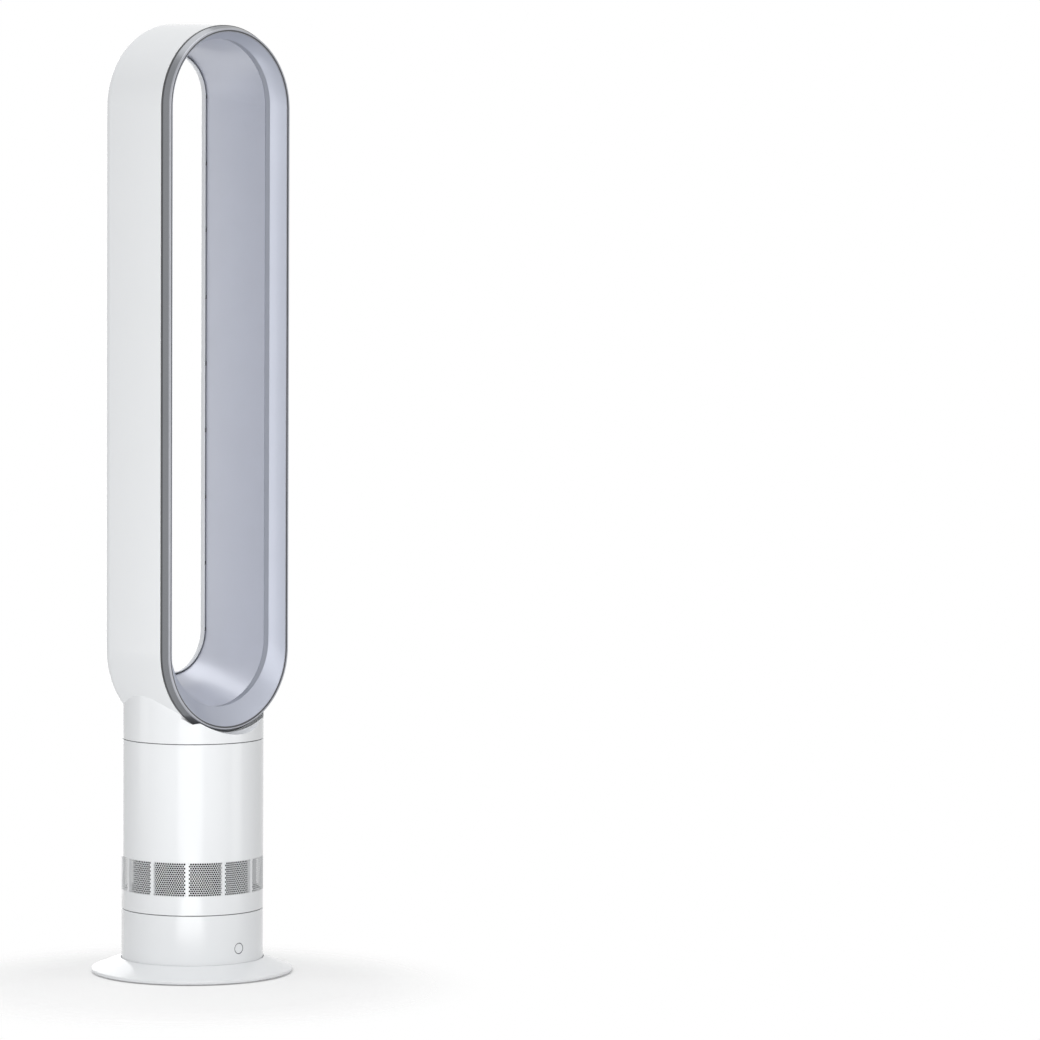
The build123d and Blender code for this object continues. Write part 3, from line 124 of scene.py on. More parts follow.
def new_material(name: str) -> tuple[bpy.types.Material, bpy.types.NodeTree]:
    """Makes an empty node material.

    Args:
        name: the material's name.

    Returns:
        The material and its node tree.
    """
    material = bpy.data.materials.new(name)
    material.use_nodes = True
    material.node_tree.nodes.clear()
    return material, material.node_tree


def new_recipe(
    name: str, inputs: dict[str, str]
) -> tuple[bpy.types.NodeTree, bpy.types.Node]:
    """Starts a Geometry Nodes tree with named inputs.

    Args:
        name: the tree's name.
        inputs: socket type by input name.

    Returns:
        The tree and its input node.
    """
    tree = bpy.data.node_groups.new(name, "GeometryNodeTree")
    for label, kind in inputs.items():
        tree.interface.new_socket(label, in_out="INPUT", socket_type=kind)
    tree.interface.new_socket("Mesh", in_out="OUTPUT", socket_type="NodeSocketGeometry")
    return tree, add_node(tree, "NodeGroupInput")


def finish_recipe(
    tree: bpy.types.NodeTree, mesh: bpy.types.Node, skin: bpy.types.NodeSocket, weld_mm: float
) -> None:
    """Ends a tree: instances made real, doubles welded and the finish set.

    Args:
        tree: the tree to end.
        mesh: the node that gives the geometry.
        skin: the socket that holds the finish.
        weld_mm: how close two points are when they become one.
    """
    real = add_node(tree, "GeometryNodeRealizeInstances", inputs={"Geometry": mesh})
    weld = {"Geometry": real, "Distance": weld_mm * MM}
    welded = add_node(tree, "GeometryNodeMergeByDistance", inputs=weld)
    dress = {"Geometry": welded, "Material": skin}
    dressed = add_node(tree, "GeometryNodeSetMaterial", inputs=dress)
    add_node(tree, "NodeGroupOutput", inputs={"Mesh": dressed})


def run_recipe(
    name: str, tree: bpy.types.NodeTree, values: dict[str, Any], crease_deg: float = 28.0
) -> bpy.types.Object:
    """Runs a Geometry Nodes tree and keeps what it made as a plain mesh.

    Args:
        name: the finished piece's name.
        tree: the tree to run.
        values: what each named input is set to.
        crease_deg: edges that turn further than this stay crisp.

    Returns:
        The finished piece, at the origin.
    """
    maker = bpy.data.objects.new(f"{name}_maker", bpy.data.meshes.new(f"{name}_maker"))
    bpy.context.scene.collection.objects.link(maker)
    modifier = maker.modifiers.new("maker", "NODES")
    modifier.node_group = tree
    for item in tree.interface.items_tree:
        if item.name in values:
            modifier[item.identifier] = values[item.name]
    graph = bpy.context.evaluated_depsgraph_get()
    mesh = bpy.data.meshes.new_from_object(maker.evaluated_get(graph), depsgraph=graph)
    bpy.data.objects.remove(maker)
    mesh.name = name
    piece = bpy.data.objects.new(name, mesh)
    bpy.context.scene.collection.objects.link(piece)
    bm = bmesh.new()
    bm.from_mesh(mesh)
    bmesh.ops.recalc_face_normals(bm, faces=bm.faces)
    bm.to_mesh(mesh)
    bm.free()
    mesh.shade_smooth()
    mesh.set_sharp_from_angle(angle=math.radians(crease_deg))
    return piece


def hold_mesh(
    name: str, points: list[Point], faces: list[tuple[int, ...]] | tuple[()] = ()
) -> bpy.types.Object:
    """Keeps points or a small mesh, given in millimetres, in an object that a tree can read.

    Args:
        name: the object's name.
        points: the points, in order.
        faces: the faces, by point number.

    Returns:
        An object that is in no scene, so it is never rendered.
    """
    mesh = bpy.data.meshes.new(name)
    mesh.from_pydata([Vector(point) * MM for point in points], [], list(faces))
    return bpy.data.objects.new(name, mesh)


# ---------------------------------------------------------------- finishes
class Skin(Enum):
    """How a moulded plastic's surface was left by its tool."""

    POLISHED = 0.14
    SATIN = 0.3
    SPARK_ERODED = 0.52
    COARSE = 0.68


@dataclass(frozen=True)
class Finish:
    """What every finish has: a name, a colour, and a pattern in the object's own coordinates."""

    name: str
    colour: str

    def surface(
        self, tree: bpy.types.NodeTree, place: bpy.types.NodeSocket
    ) -> bpy.types.Node:
        """Adds the finish's own nodes.

        Args:
            tree: the material's node tree.
            place: the socket that gives object coordinates.

        Returns:
            The shader node.
        """
        raise NotImplementedError

    def build(self) -> bpy.types.Material:
        """Builds the material and returns it."""
        material, tree = new_material(self.name)
        place = add_node(tree, "ShaderNodeTexCoord").outputs["Object"]
        shader = self.surface(tree, place)
        add_node(tree, "ShaderNodeOutputMaterial", inputs={"Surface": shader})
        return material

    def tint(
        self, tree: bpy.types.NodeTree, pattern: bpy.types.Node, share: float
    ) -> bpy.types.Node:
        """Mixes the colour with a scaled one by a pattern.

        Args:
            tree: the material's node tree.
            pattern: the node whose first output says how much of the scaled colour shows.
            share: how the scaled colour compares with the plain one.

        Returns:
            The node that gives the mixed colour.
        """
        mix = {"Factor": pattern, "A": linear(self.colour), "B": shaded(self.colour, share)}
        return add_node(tree, "ShaderNodeMix", {"data_type": "RGBA"}, mix)


@dataclass(frozen=True)
class MouldedPlastic(Finish):
    """Injection moulded ABS, nylon or acetal.

    The tool's skin gives the sheen, and slow waves in the wall let highlights swim a little.
    """

    skin: Skin = Skin.SATIN
    wave_mm: float = 60.0
    grain_mm: float = 0.8
    grain_depth_mm: float = 0.004
    shade: float = 0.02

    def surface(
        self, tree: bpy.types.NodeTree, place: bpy.types.NodeSocket
    ) -> bpy.types.Node:
        """Adds the plastic's waves and its tool's grain, and returns the shader."""
        swells = {"Vector": place, "Scale": 1 / (self.wave_mm * MM), "Detail": 1.0}
        waves = add_node(tree, NOISE, inputs=swells)
        fine = {"Scale": 1 / (self.grain_mm * MM), "Detail": 3.0, "Roughness": 0.6}
        grain = add_node(tree, NOISE, inputs={"Vector": place, **fine})
        rough = self.skin.value
        sheen = {"Value": grain, "To Min": rough - 0.03, "To Max": rough + 0.04}
        wave = {"Height": waves, "Strength": 0.1, "Distance": 0.05 * MM}
        depth = {"Strength": 0.4, "Distance": self.grain_depth_mm * MM}
        swell = add_node(tree, BUMP, inputs=wave)
        look = {
            "IOR": 1.53,
            "Base Color": self.tint(tree, waves, 1 - self.shade),
            "Roughness": add_node(tree, MAP_RANGE, inputs=sheen),
            "Normal": add_node(tree, BUMP, inputs={"Height": grain, "Normal": swell, **depth}),
        }
        return add_node(tree, PRINCIPLED, inputs=look)


@dataclass(frozen=True)
class SilverLacquer(Finish):
    """ABS sprayed with aluminium flake in a clear lacquer.

    Fine flakes give the satin metal sheen, and the lacquer gives a thin gloss over it.
    """

    metallic: float = 0.7
    roughness: float = 0.34
    flake_mm: float = 0.35
    cloud_mm: float = 45.0

    def surface(
        self, tree: bpy.types.NodeTree, place: bpy.types.NodeSocket
    ) -> bpy.types.Node:
        """Adds the lacquer's flakes and its slow clouds, and returns the shader."""
        grains = {"Vector": place, "Scale": 1 / (self.flake_mm * MM)}
        flake = add_node(tree, "ShaderNodeTexVoronoi", inputs=grains)
        drift = {"Vector": place, "Scale": 1 / (self.cloud_mm * MM), "Detail": 2.0}
        cloud = add_node(tree, NOISE, inputs=drift)
        rough = self.roughness
        sheen = {"Value": flake, "To Min": rough - 0.04, "To Max": rough + 0.05}
        relief = {"Height": flake, "Strength": 0.12, "Distance": 0.01 * MM}
        look = {
            "Metallic": self.metallic,
            "Coat Weight": 0.3,
            "Coat Roughness": 0.12,
            "Base Color": self.tint(tree, cloud, 0.94),
            "Roughness": add_node(tree, MAP_RANGE, inputs=sheen),
            "Normal": add_node(tree, BUMP, inputs=relief),
        }
        return add_node(tree, PRINCIPLED, inputs=look)


@dataclass(frozen=True)
class WorkedMetal(Finish):
    """Plated, ground, wound or pressed metal. Fine lines along one axis show how it was worked."""

    roughness: float = 0.35
    line_mm: float = 0.3
    lines_along: Point = (1.0, 1.0, 0.05)
    metallic: float = 1.0

    def surface(
        self, tree: bpy.types.NodeTree, place: bpy.types.NodeSocket
    ) -> bpy.types.Node:
        """Adds the metal's fine lines and returns the shader."""
        along = {"Vector": place, "Scale": self.lines_along}
        stretch = add_node(tree, "ShaderNodeMapping", inputs=along)
        fine = {"Vector": stretch, "Scale": 1 / (self.line_mm * MM), "Detail": 2.0}
        lines = add_node(tree, NOISE, inputs=fine)
        rough = self.roughness
        sheen = {"Value": lines, "To Min": rough - 0.06, "To Max": rough + 0.08}
        relief = {"Height": lines, "Strength": 0.15, "Distance": 0.01 * MM}
        look = {
            "Metallic": self.metallic,
            "Base Color": self.tint(tree, lines, 0.85),
            "Roughness": add_node(tree, MAP_RANGE, inputs=sheen),
            "Normal": add_node(tree, BUMP, inputs=relief),
        }
        return add_node(tree, PRINCIPLED, inputs=look)


@dataclass(frozen=True)
class SoftMaterial(Finish):
    """Rubber, foam or a cable jacket: matte, with pores or a bloom as deep as the real ones."""

    pore_mm: float = 0.6
    pore_depth_mm: float = 0.02
    roughness: float = 0.75

    def surface(
        self, tree: bpy.types.NodeTree, place: bpy.types.NodeSocket
    ) -> bpy.types.Node:
        """Adds the pores and returns the shader."""
        cells = {"Vector": place, "Scale": 1 / (self.pore_mm * MM)}
        pores = add_node(tree, "ShaderNodeTexVoronoi", inputs=cells)
        mix = {"Factor": pores, "A": shaded(self.colour, 0.7), "B": linear(self.colour)}
        relief = {"Height": pores, "Strength": 0.6, "Distance": self.pore_depth_mm * MM}
        look = {
            "Roughness": self.roughness,
            "Base Color": add_node(tree, "ShaderNodeMix", {"data_type": "RGBA"}, mix),
            "Normal": add_node(tree, BUMP, inputs=relief),
        }
        return add_node(tree, PRINCIPLED, inputs=look)


@dataclass(frozen=True)
class SolderResist(Finish):
    """Green solder resist over glass fibre board, with the copper's tracks faint beneath it."""

    track_mm: float = 2.2

    def surface(
        self, tree: bpy.types.NodeTree, place: bpy.types.NodeSocket
    ) -> bpy.types.Node:
        """Adds the tracks and returns the shader."""
        pattern = {
            "Vector": place,
            "Scale": 1 / (self.track_mm * MM),
            "Mortar Size": 0.08,
            "Color1": linear(self.colour),
            "Color2": shaded(self.colour, 1.25),
            "Mortar": shaded(self.colour, 0.6),
        }
        tracks = add_node(tree, "ShaderNodeTexBrick", inputs=pattern)
        relief = {"Height": tracks.outputs["Fac"], "Strength": 0.2, "Distance": 0.03 * MM}
        look = {
            "Roughness": 0.35,
            "Base Color": tracks.outputs["Color"],
            "Normal": add_node(tree, BUMP, inputs=relief),
        }
        return add_node(tree, PRINCIPLED, inputs=look)


FINISHES: dict[str, Finish] = {
    # ABS from a polished tool: a soft gloss over slow swells
    "white_shell": MouldedPlastic("white_moulded_abs", "EDEFF1", Skin.POLISHED),
    # Aluminium flake lacquer sprayed on ABS: a cool satin silver
    "silver_coat": SilverLacquer("silver_flake_lacquer", "C6C9D3", 0.5, 0.4),
    # The silver lacquer again, less metallic, in a lighter tone of its own for the flare: painted
    # light
    "ring_flare": SilverLacquer("flare_painted_light_silver_lacquer", "B0B4C0", 0.4, 0.42),
    # The silver lacquer darkened behind the flare: painted shade in the throat
    "ring_throat": SilverLacquer("throat_painted_shade_silver_lacquer", "999DA8", 0.5, 0.4),
    # A dark strip where the ring tucks into the shell: painted shade in the seam
    "ring_shoulder": MouldedPlastic("seam_painted_shade_abs", "3A3B3E"),
    # A dark strip on the groove's floor: a painted shadow line
    "ring_groove": MouldedPlastic("groove_painted_shadow_abs", "3A3B3E"),
    # The silver lacquer lightened and slightly glossier on the front edge: a painted highlight line
    "ring_nose": SilverLacquer("nose_painted_highlight_silver_lacquer", "A3A5AC", 0.4, 0.3),
    # The silver lacquer darkened on the outer band, and more metallic: painted shade
    "ring_band": SilverLacquer("band_painted_shade_silver_lacquer", "7C7E82", 0.8, 0.3),
    # Grey ABS from a satin tool: a thin quiet ring round the button
    "bezel_grey": MouldedPlastic("grey_moulded_bezel", "5C5E64"),
    # Glass filled nylon from a spark eroded tool: matte and a little grainy, its own dark grey
    # deepened to be painted shade in the seams that show it
    "grey_plastic": MouldedPlastic("grey_glass_nylon_and_painted_seam_shade", "2E2F32", Skin.SPARK_ERODED),
    # Unpainted light ABS from a spark eroded tool: an even matte grey
    "light_plastic": MouldedPlastic("light_grey_moulded_abs", "C9CACC", Skin.SPARK_ERODED),
    # Undyed acetal: creamy and faintly waxy
    "natural_nylon": MouldedPlastic("natural_acetal", "E9E4D6"),
    # Black nylon from a satin tool: dark blades with soft highlights
    "blade_plastic": MouldedPlastic("black_moulded_nylon", "26272A"),
    # Zinc plated steel: bright, with fine drawn lines
    "plated_steel": WorkedMetal("zinc_plated_steel", "C4C6C8", 0.32),
    # Steel plate under a black coat: dull, hardly metallic
    "plate_steel": WorkedMetal("black_coated_steel_plate", "4A4B4D", 0.5, metallic=0.4),
    # Phosphated spring steel: a dark, dry grey
    "spring_steel": WorkedMetal("phosphated_spring_steel", "56575A", 0.45),
    # Ground steel: nearly a mirror
    "bearing_steel": WorkedMetal("ground_bearing_steel", "D2D3D5", 0.16),
    # Stacked pressed sheets: close lines across the stack
    "lamination_steel": WorkedMetal(
        "pressed_lamination_steel", "8C8D90", 0.4, 0.5, (0.02, 0.02, 1.0)
    ),
    # Ferrite under an epoxy coat: dark and a little rough
    "magnet": WorkedMetal("epoxy_coated_ferrite", "3A3B3E", 0.45, metallic=0.3),
    # Wound enamelled wire: glossy copper with the turns showing as lines
    "copper_wire": WorkedMetal("enamelled_copper_wire", "C0703C", 0.3, 0.4, (0.05, 0.05, 1.0)),
    # Moulded rubber: matte, with a fine bloom
    "soft_rubber": SoftMaterial("moulded_rubber", "3C3D3F"),
    # Open cell foam: deep pores that swallow light
    "foam": SoftMaterial("open_cell_foam", "242526", 1.2, 0.4, 0.95),
    # Solder resist over copper tracks: a satin green with a faint pattern
    "circuit_board": SolderResist("green_solder_resist", "1F6B3C"),
    # Moulded phenolic: black with a dull sheen
    "component_black": MouldedPlastic("black_moulded_phenolic", "1E1F21"),
    # Heat shrunk sleeve: smooth, glossy dark blue
    "capacitor_sleeve": MouldedPlastic("heat_shrunk_pvc_sleeve", "26304F", Skin.POLISHED),
    # Wound polyester tape: glossy yellow
    "transformer_tape": MouldedPlastic("wound_polyester_tape", "D9A928", Skin.POLISHED),
    # Extruded jacket: dark and slightly less matte than rubber
    "lead_jacket": SoftMaterial("pvc_lead_jacket", "45464A", roughness=0.55),
}


@dataclass
class Wardrobe:
    """Every finish of the fan, made once and handed to the nodes that wear it."""

    materials: dict[str, bpy.types.Material]

    @classmethod
    def make(cls) -> "Wardrobe":
        """Builds every finish and returns the wardrobe."""
        return cls({slot: finish.build() for slot, finish in FINISHES.items()})

    def dress(self, record: dict[str, Any], nodes: dict[str, bpy.types.Object]) -> None:
        """Gives each CAD node the finish of its material slot.

        Args:
            record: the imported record.
            nodes: CAD node objects by name.
        """
        for entry in record["subparts"]:
            node = nodes[entry["node"]]
            material = self.materials[entry["material_slot"]]
            if not node.material_slots:
                node.data.materials.append(material)
            for holder in node.material_slots:
                holder.material = material


# ---------------------------------------------------------------- loop
def bend(
    centre: tuple[float, float], radius: float, start: float, end: float, steps: int
) -> list[tuple[float, float]]:
    """Points on a round stretch of an outline.

    Args:
        centre: the arc's centre.
        radius: its radius.
        start: the angle it starts at, in degrees.
        end: the angle it ends at, in degrees.
        steps: how many straight pieces it has.

    Returns:
        The points in order, with both ends.
    """
    angles = [math.radians(start + (end - start) * i / steps) for i in range(steps + 1)]
    return [
        (centre[0] + radius * math.cos(a), centre[1] + radius * math.sin(a))
        for a in angles
    ]


@dataclass
class LoopSweep:
    """Carries an outline round the loop: two straight sides and two half turns.

    An outline's points are (half width, forward, lift) in millimetres. The lift raises the centre
    of the lower half turn, because the opening's is higher than the outside's, and high_share of
    it raises the centre of the upper one.
    """

    high_centre_mm: float = 917.39
    low_centre_mm: float = 346.4
    high_share: float = 4.0 / 9.0
    half_turn_steps: int = 64

    def recipe(self) -> bpy.types.NodeTree:
        """Builds the Geometry Nodes tree that does it and returns it."""
        tree, given = new_recipe(
            "loop_sweep",
            {
                "Outline": "NodeSocketObject",
                "Outline Points": "NodeSocketInt",
                "Half Turn Steps": "NodeSocketInt",
                "High Centre": "NodeSocketFloat",
                "Low Centre": "NodeSocketFloat",
                "High Share": "NodeSocketFloat",
                "Finish": "NodeSocketMaterial",
            },
        )
        points, steps = given.outputs["Outline Points"], given.outputs["Half Turn Steps"]
        # The grid has a row and a column more than the sweep, which meet the first ones
        stations = add_node(tree, MATH, {"operation": "MULTIPLY_ADD"}, (steps, 2.0, 2.0))
        columns = add_node(tree, MATH, {"operation": "ADD"}, (points, 1.0))
        rows = add_node(tree, MATH, {"operation": "ADD"}, (stations, 1.0))
        size = {"Vertices X": columns, "Vertices Y": rows}
        grid = add_node(tree, "GeometryNodeMeshGrid", inputs=size)
        index = add_node(tree, "GeometryNodeInputIndex")
        whole = add_node(tree, MATH, {"operation": "DIVIDE"}, (index, rows))
        column = add_node(tree, MATH, {"operation": "FLOOR"}, (whole,))
        along = add_node(tree, MATH, {"operation": "MODULO"}, (column, points))
        row = add_node(tree, MATH, {"operation": "MODULO"}, (index, rows))
        station = add_node(tree, MATH, {"operation": "MODULO"}, (row, stations))
        # Stations up to the number of steps are the upper half turn's, the rest the lower one's
        limit = add_node(tree, MATH, {"operation": "ADD"}, (steps, 0.5))
        lower = add_node(tree, MATH, {"operation": "GREATER_THAN"}, (station, limit))
        per_turn = add_node(tree, MATH, {"operation": "ADD"}, (steps, 1.0))
        passed = add_node(tree, MATH, {"operation": "MULTIPLY"}, (lower, per_turn))
        in_turn = add_node(tree, MATH, {"operation": "SUBTRACT"}, (station, passed))
        share = add_node(tree, MATH, {"operation": "DIVIDE"}, (in_turn, steps))
        start = add_node(tree, MATH, {"operation": "SUBTRACT"}, (lower, 0.5))
        half_turns = add_node(tree, MATH, {"operation": "ADD"}, (share, start))
        angle = add_node(tree, MATH, {"operation": "MULTIPLY"}, (half_turns, math.pi))
        held = {"Object": given.outputs["Outline"]}
        outline = add_node(tree, "GeometryNodeObjectInfo", inputs=held)
        picked = add_node(
            tree,
            "GeometryNodeSampleIndex",
            {"data_type": "FLOAT_VECTOR", "domain": "POINT"},
            {
                "Geometry": outline.outputs["Geometry"],
                "Value": add_node(tree, "GeometryNodeInputPosition"),
                "Index": along,
            },
        )
        parts = add_node(tree, "ShaderNodeSeparateXYZ", inputs={"Vector": picked})
        half_width, forward, lift = (parts.outputs[axis] for axis in "XYZ")
        raised = (lift, given.outputs["High Share"], given.outputs["High Centre"])
        low_centre = add_node(tree, MATH, {"operation": "ADD"}, (given.outputs["Low Centre"], lift))
        high_centre = add_node(tree, MATH, {"operation": "MULTIPLY_ADD"}, raised)
        fall = add_node(tree, MATH, {"operation": "SUBTRACT"}, (low_centre, high_centre))
        centre = add_node(tree, MATH, {"operation": "MULTIPLY_ADD"}, (fall, lower, high_centre))
        sine = add_node(tree, MATH, {"operation": "SINE"}, (angle,))
        cosine = add_node(tree, MATH, {"operation": "COSINE"}, (angle,))
        spot = {
            "X": add_node(tree, MATH, {"operation": "MULTIPLY"}, (half_width, sine)),
            "Y": add_node(tree, MATH, {"operation": "MULTIPLY"}, (forward, -1.0)),
            "Z": add_node(tree, MATH, {"operation": "MULTIPLY_ADD"}, (half_width, cosine, centre)),
        }
        position = add_node(tree, "ShaderNodeCombineXYZ", inputs=spot)
        move = {"Geometry": grid, "Position": position}
        placed = add_node(tree, "GeometryNodeSetPosition", inputs=move)
        finish_recipe(tree, placed, given.outputs["Finish"], 0.005)
        return tree

    def carry(
        self,
        name: str,
        outline: list[Point],
        finish: bpy.types.Material,
        crease_deg: float = 28.0,
    ) -> bpy.types.Object:
        """Makes one closed piece from an outline.

        Args:
            name: the piece's name.
            outline: its closed outline.
            finish: the material that it wears.
            crease_deg: edges that turn further than this stay crisp.

        Returns:
            The finished piece.
        """
        values = {
            "Outline": hold_mesh(f"{name}_outline", outline),
            "Outline Points": len(outline),
            "Half Turn Steps": self.half_turn_steps,
            "High Centre": self.high_centre_mm * MM,
            "Low Centre": self.low_centre_mm * MM,
            "High Share": self.high_share,
            "Finish": finish,
        }
        return run_recipe(name, self.recipe(), values, crease_deg)


def strip(inside: float, outside: float, back: float, front: float) -> list[Point]:
    """The closed outline of a plain strip.

    Args:
        inside: its half width inside.
        outside: its half width outside.
        back: where it ends behind.
        front: where it ends in front.

    Returns:
        Its corners in order, without lift.
    """
    outline = [(outside, back), (outside, front), (inside, front), (inside, back)]
    return [(a, f, 0.0) for a, f in outline]


@dataclass
class FrontRing:
    """The ring at the front of the loop.

    It has a shoulder in the seam to the shell, a band outside, a nose, a groove, a flare, and a
    straight throat behind it. Painted shade darkens the shoulder, the band, the groove and the
    throat, a painted highlight lightens the nose, and the flare's lighter tone is painted light.
    """

    opening_lift: float = 9.0
    band_back: float = 50.8
    band_back_half_width: float = 86.25
    band_wall: float = 2.0
    front: float = 59.0
    nose_half_width: float = 83.1
    nose_back: float = 57.5
    nose_back_half_width: float = 83.45
    nose_radius: float = 0.6
    nose_land: float = 1.0
    groove_width: float = 2.2
    groove_depth: float = 0.6
    flare_drop: float = 0.4
    flare_back: float = 43.7
    throat_half_width: float = 68.8
    throat_back: float = 35.7
    throat_step: float = 0.5
    flare_hollow: float = 0.5
    joint: float = 0.02
    shoulder_back: float = 48.7
    shoulder_half_width: float = 86.7
    shoulder_depth: float = 1.5
    shoulder_lap: float = 0.3
    band_edge: float = 0.4
    groove_lap_out: float = 0.2
    groove_lap_in: float = 0.4
    groove_floor: float = 0.3
    flare_steps: int = 10
    flare_heel: float = 0.8
    flare_wall: float = 3.2
    flare_wall_in: float = 0.6
    flare_edge_in: float = 0.5
    flare_edge: float = 0.1

    @property
    def land_inside(self) -> float:
        """Half width where the nose's land ends and the groove begins."""
        return self.nose_half_width - self.nose_radius - self.nose_land

    def shoulder_outline(self) -> list[Point]:
        """The shoulder's closed outline: a strip of painted shade in the seam between the band and
        the shell.
        """
        outside = self.shoulder_half_width
        inside = outside - self.shoulder_depth
        return strip(inside, outside, self.shoulder_back, self.band_back + self.shoulder_lap)

    def band_outline(self) -> list[Point]:
        """The band's closed outline, from its rear edge to the nose and back inside."""
        back, wide, edge = self.band_back, self.band_back_half_width, self.band_edge
        rear = bend((wide - edge, back + edge), edge, -90, 0, 3)
        tip, front = self.nose_back_half_width, self.nose_back
        inner = [
            (tip, front - self.joint),
            (tip - self.band_wall, front - self.joint),
            (wide - self.band_wall, back),
        ]
        return [(a, f, 0.0) for a, f in rear + inner]

    def nose_outline(self) -> list[Point]:
        """The nose's closed outline: a rounded edge with a narrow flat land inside."""
        centre = (self.nose_half_width - self.nose_radius, self.front - self.nose_radius)
        edge = bend(centre, self.nose_radius, 15, 90, 6)
        land = centre[0] - self.nose_land
        inner = [(land, self.front), (land, self.nose_back)]
        points = [(self.nose_back_half_width, self.nose_back)] + edge + inner
        return [(a, f, 0.0) for a, f in points]

    def groove_outline(self) -> list[Point]:
        """The closed outline of the groove's floor of painted shade, between the nose and the
        flare.
        """
        outside = self.land_inside + self.groove_lap_out
        inside = outside - self.groove_width - self.groove_lap_in
        back, front = self.nose_back - self.groove_floor, self.front - self.groove_depth
        return strip(inside, outside, back, front)

    def flare_outline(self) -> list[Point]:
        """The flare's closed outline, from the groove to the throat and back behind."""
        start = self.land_inside - self.groove_width
        front = self.front - self.flare_drop
        points = []
        for i in range(self.flare_steps + 1):
            share = i / self.flare_steps
            sag = self.flare_hollow * math.sin(math.pi * share) / 2
            across = start + (self.throat_half_width - start) * share + sag
            depth = front + (self.flare_back - front) * share - sag
            points.append((across, depth, self.opening_lift * share))
        step = self.flare_back - self.throat_step
        wide = self.throat_half_width + self.band_wall
        behind = [
            (self.throat_half_width, step, self.opening_lift),
            (wide, step, self.opening_lift),
            (wide, self.flare_back + self.flare_heel, self.opening_lift),
            (start + self.flare_wall_in, front - self.flare_wall, 0.0),
            (start + self.flare_edge_in, front - self.flare_edge, 0.0),
        ]
        return points + behind

    def throat_outline(self) -> list[Point]:
        """The straight throat's closed outline, a step behind the flare's edge."""
        inside = self.throat_half_width + self.throat_step
        outside = self.throat_half_width + self.band_wall
        front = self.flare_back - self.throat_step
        corners = [(inside, front), (inside, self.throat_back), (outside, self.throat_back)]
        corners.append((outside, front))
        return [(a, f, self.opening_lift) for a, f in corners]

    def build(self, sweep: LoopSweep, wardrobe: Wardrobe) -> list[bpy.types.Object]:
        """Builds the ring's six pieces.

        Args:
            sweep: what carries an outline round the loop.
            wardrobe: the fan's finishes.

        Returns:
            The shoulder, the band, the nose, the groove, the flare and the throat.
        """
        outlines = {
            "shoulder": self.shoulder_outline(),
            "band": self.band_outline(),
            "nose": self.nose_outline(),
            "groove": self.groove_outline(),
            "flare": self.flare_outline(),
            "throat": self.throat_outline(),
        }
        pieces = [
            sweep.carry(f"front_ring_{part}", outline, wardrobe.materials[f"ring_{part}"])
            for part, outline in outlines.items()
        ]
        for piece in pieces:
            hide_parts("loop_front_ring")
            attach(piece, "tower")
        log.info("front ring: %s", ", ".join(outlines))
        return pieces


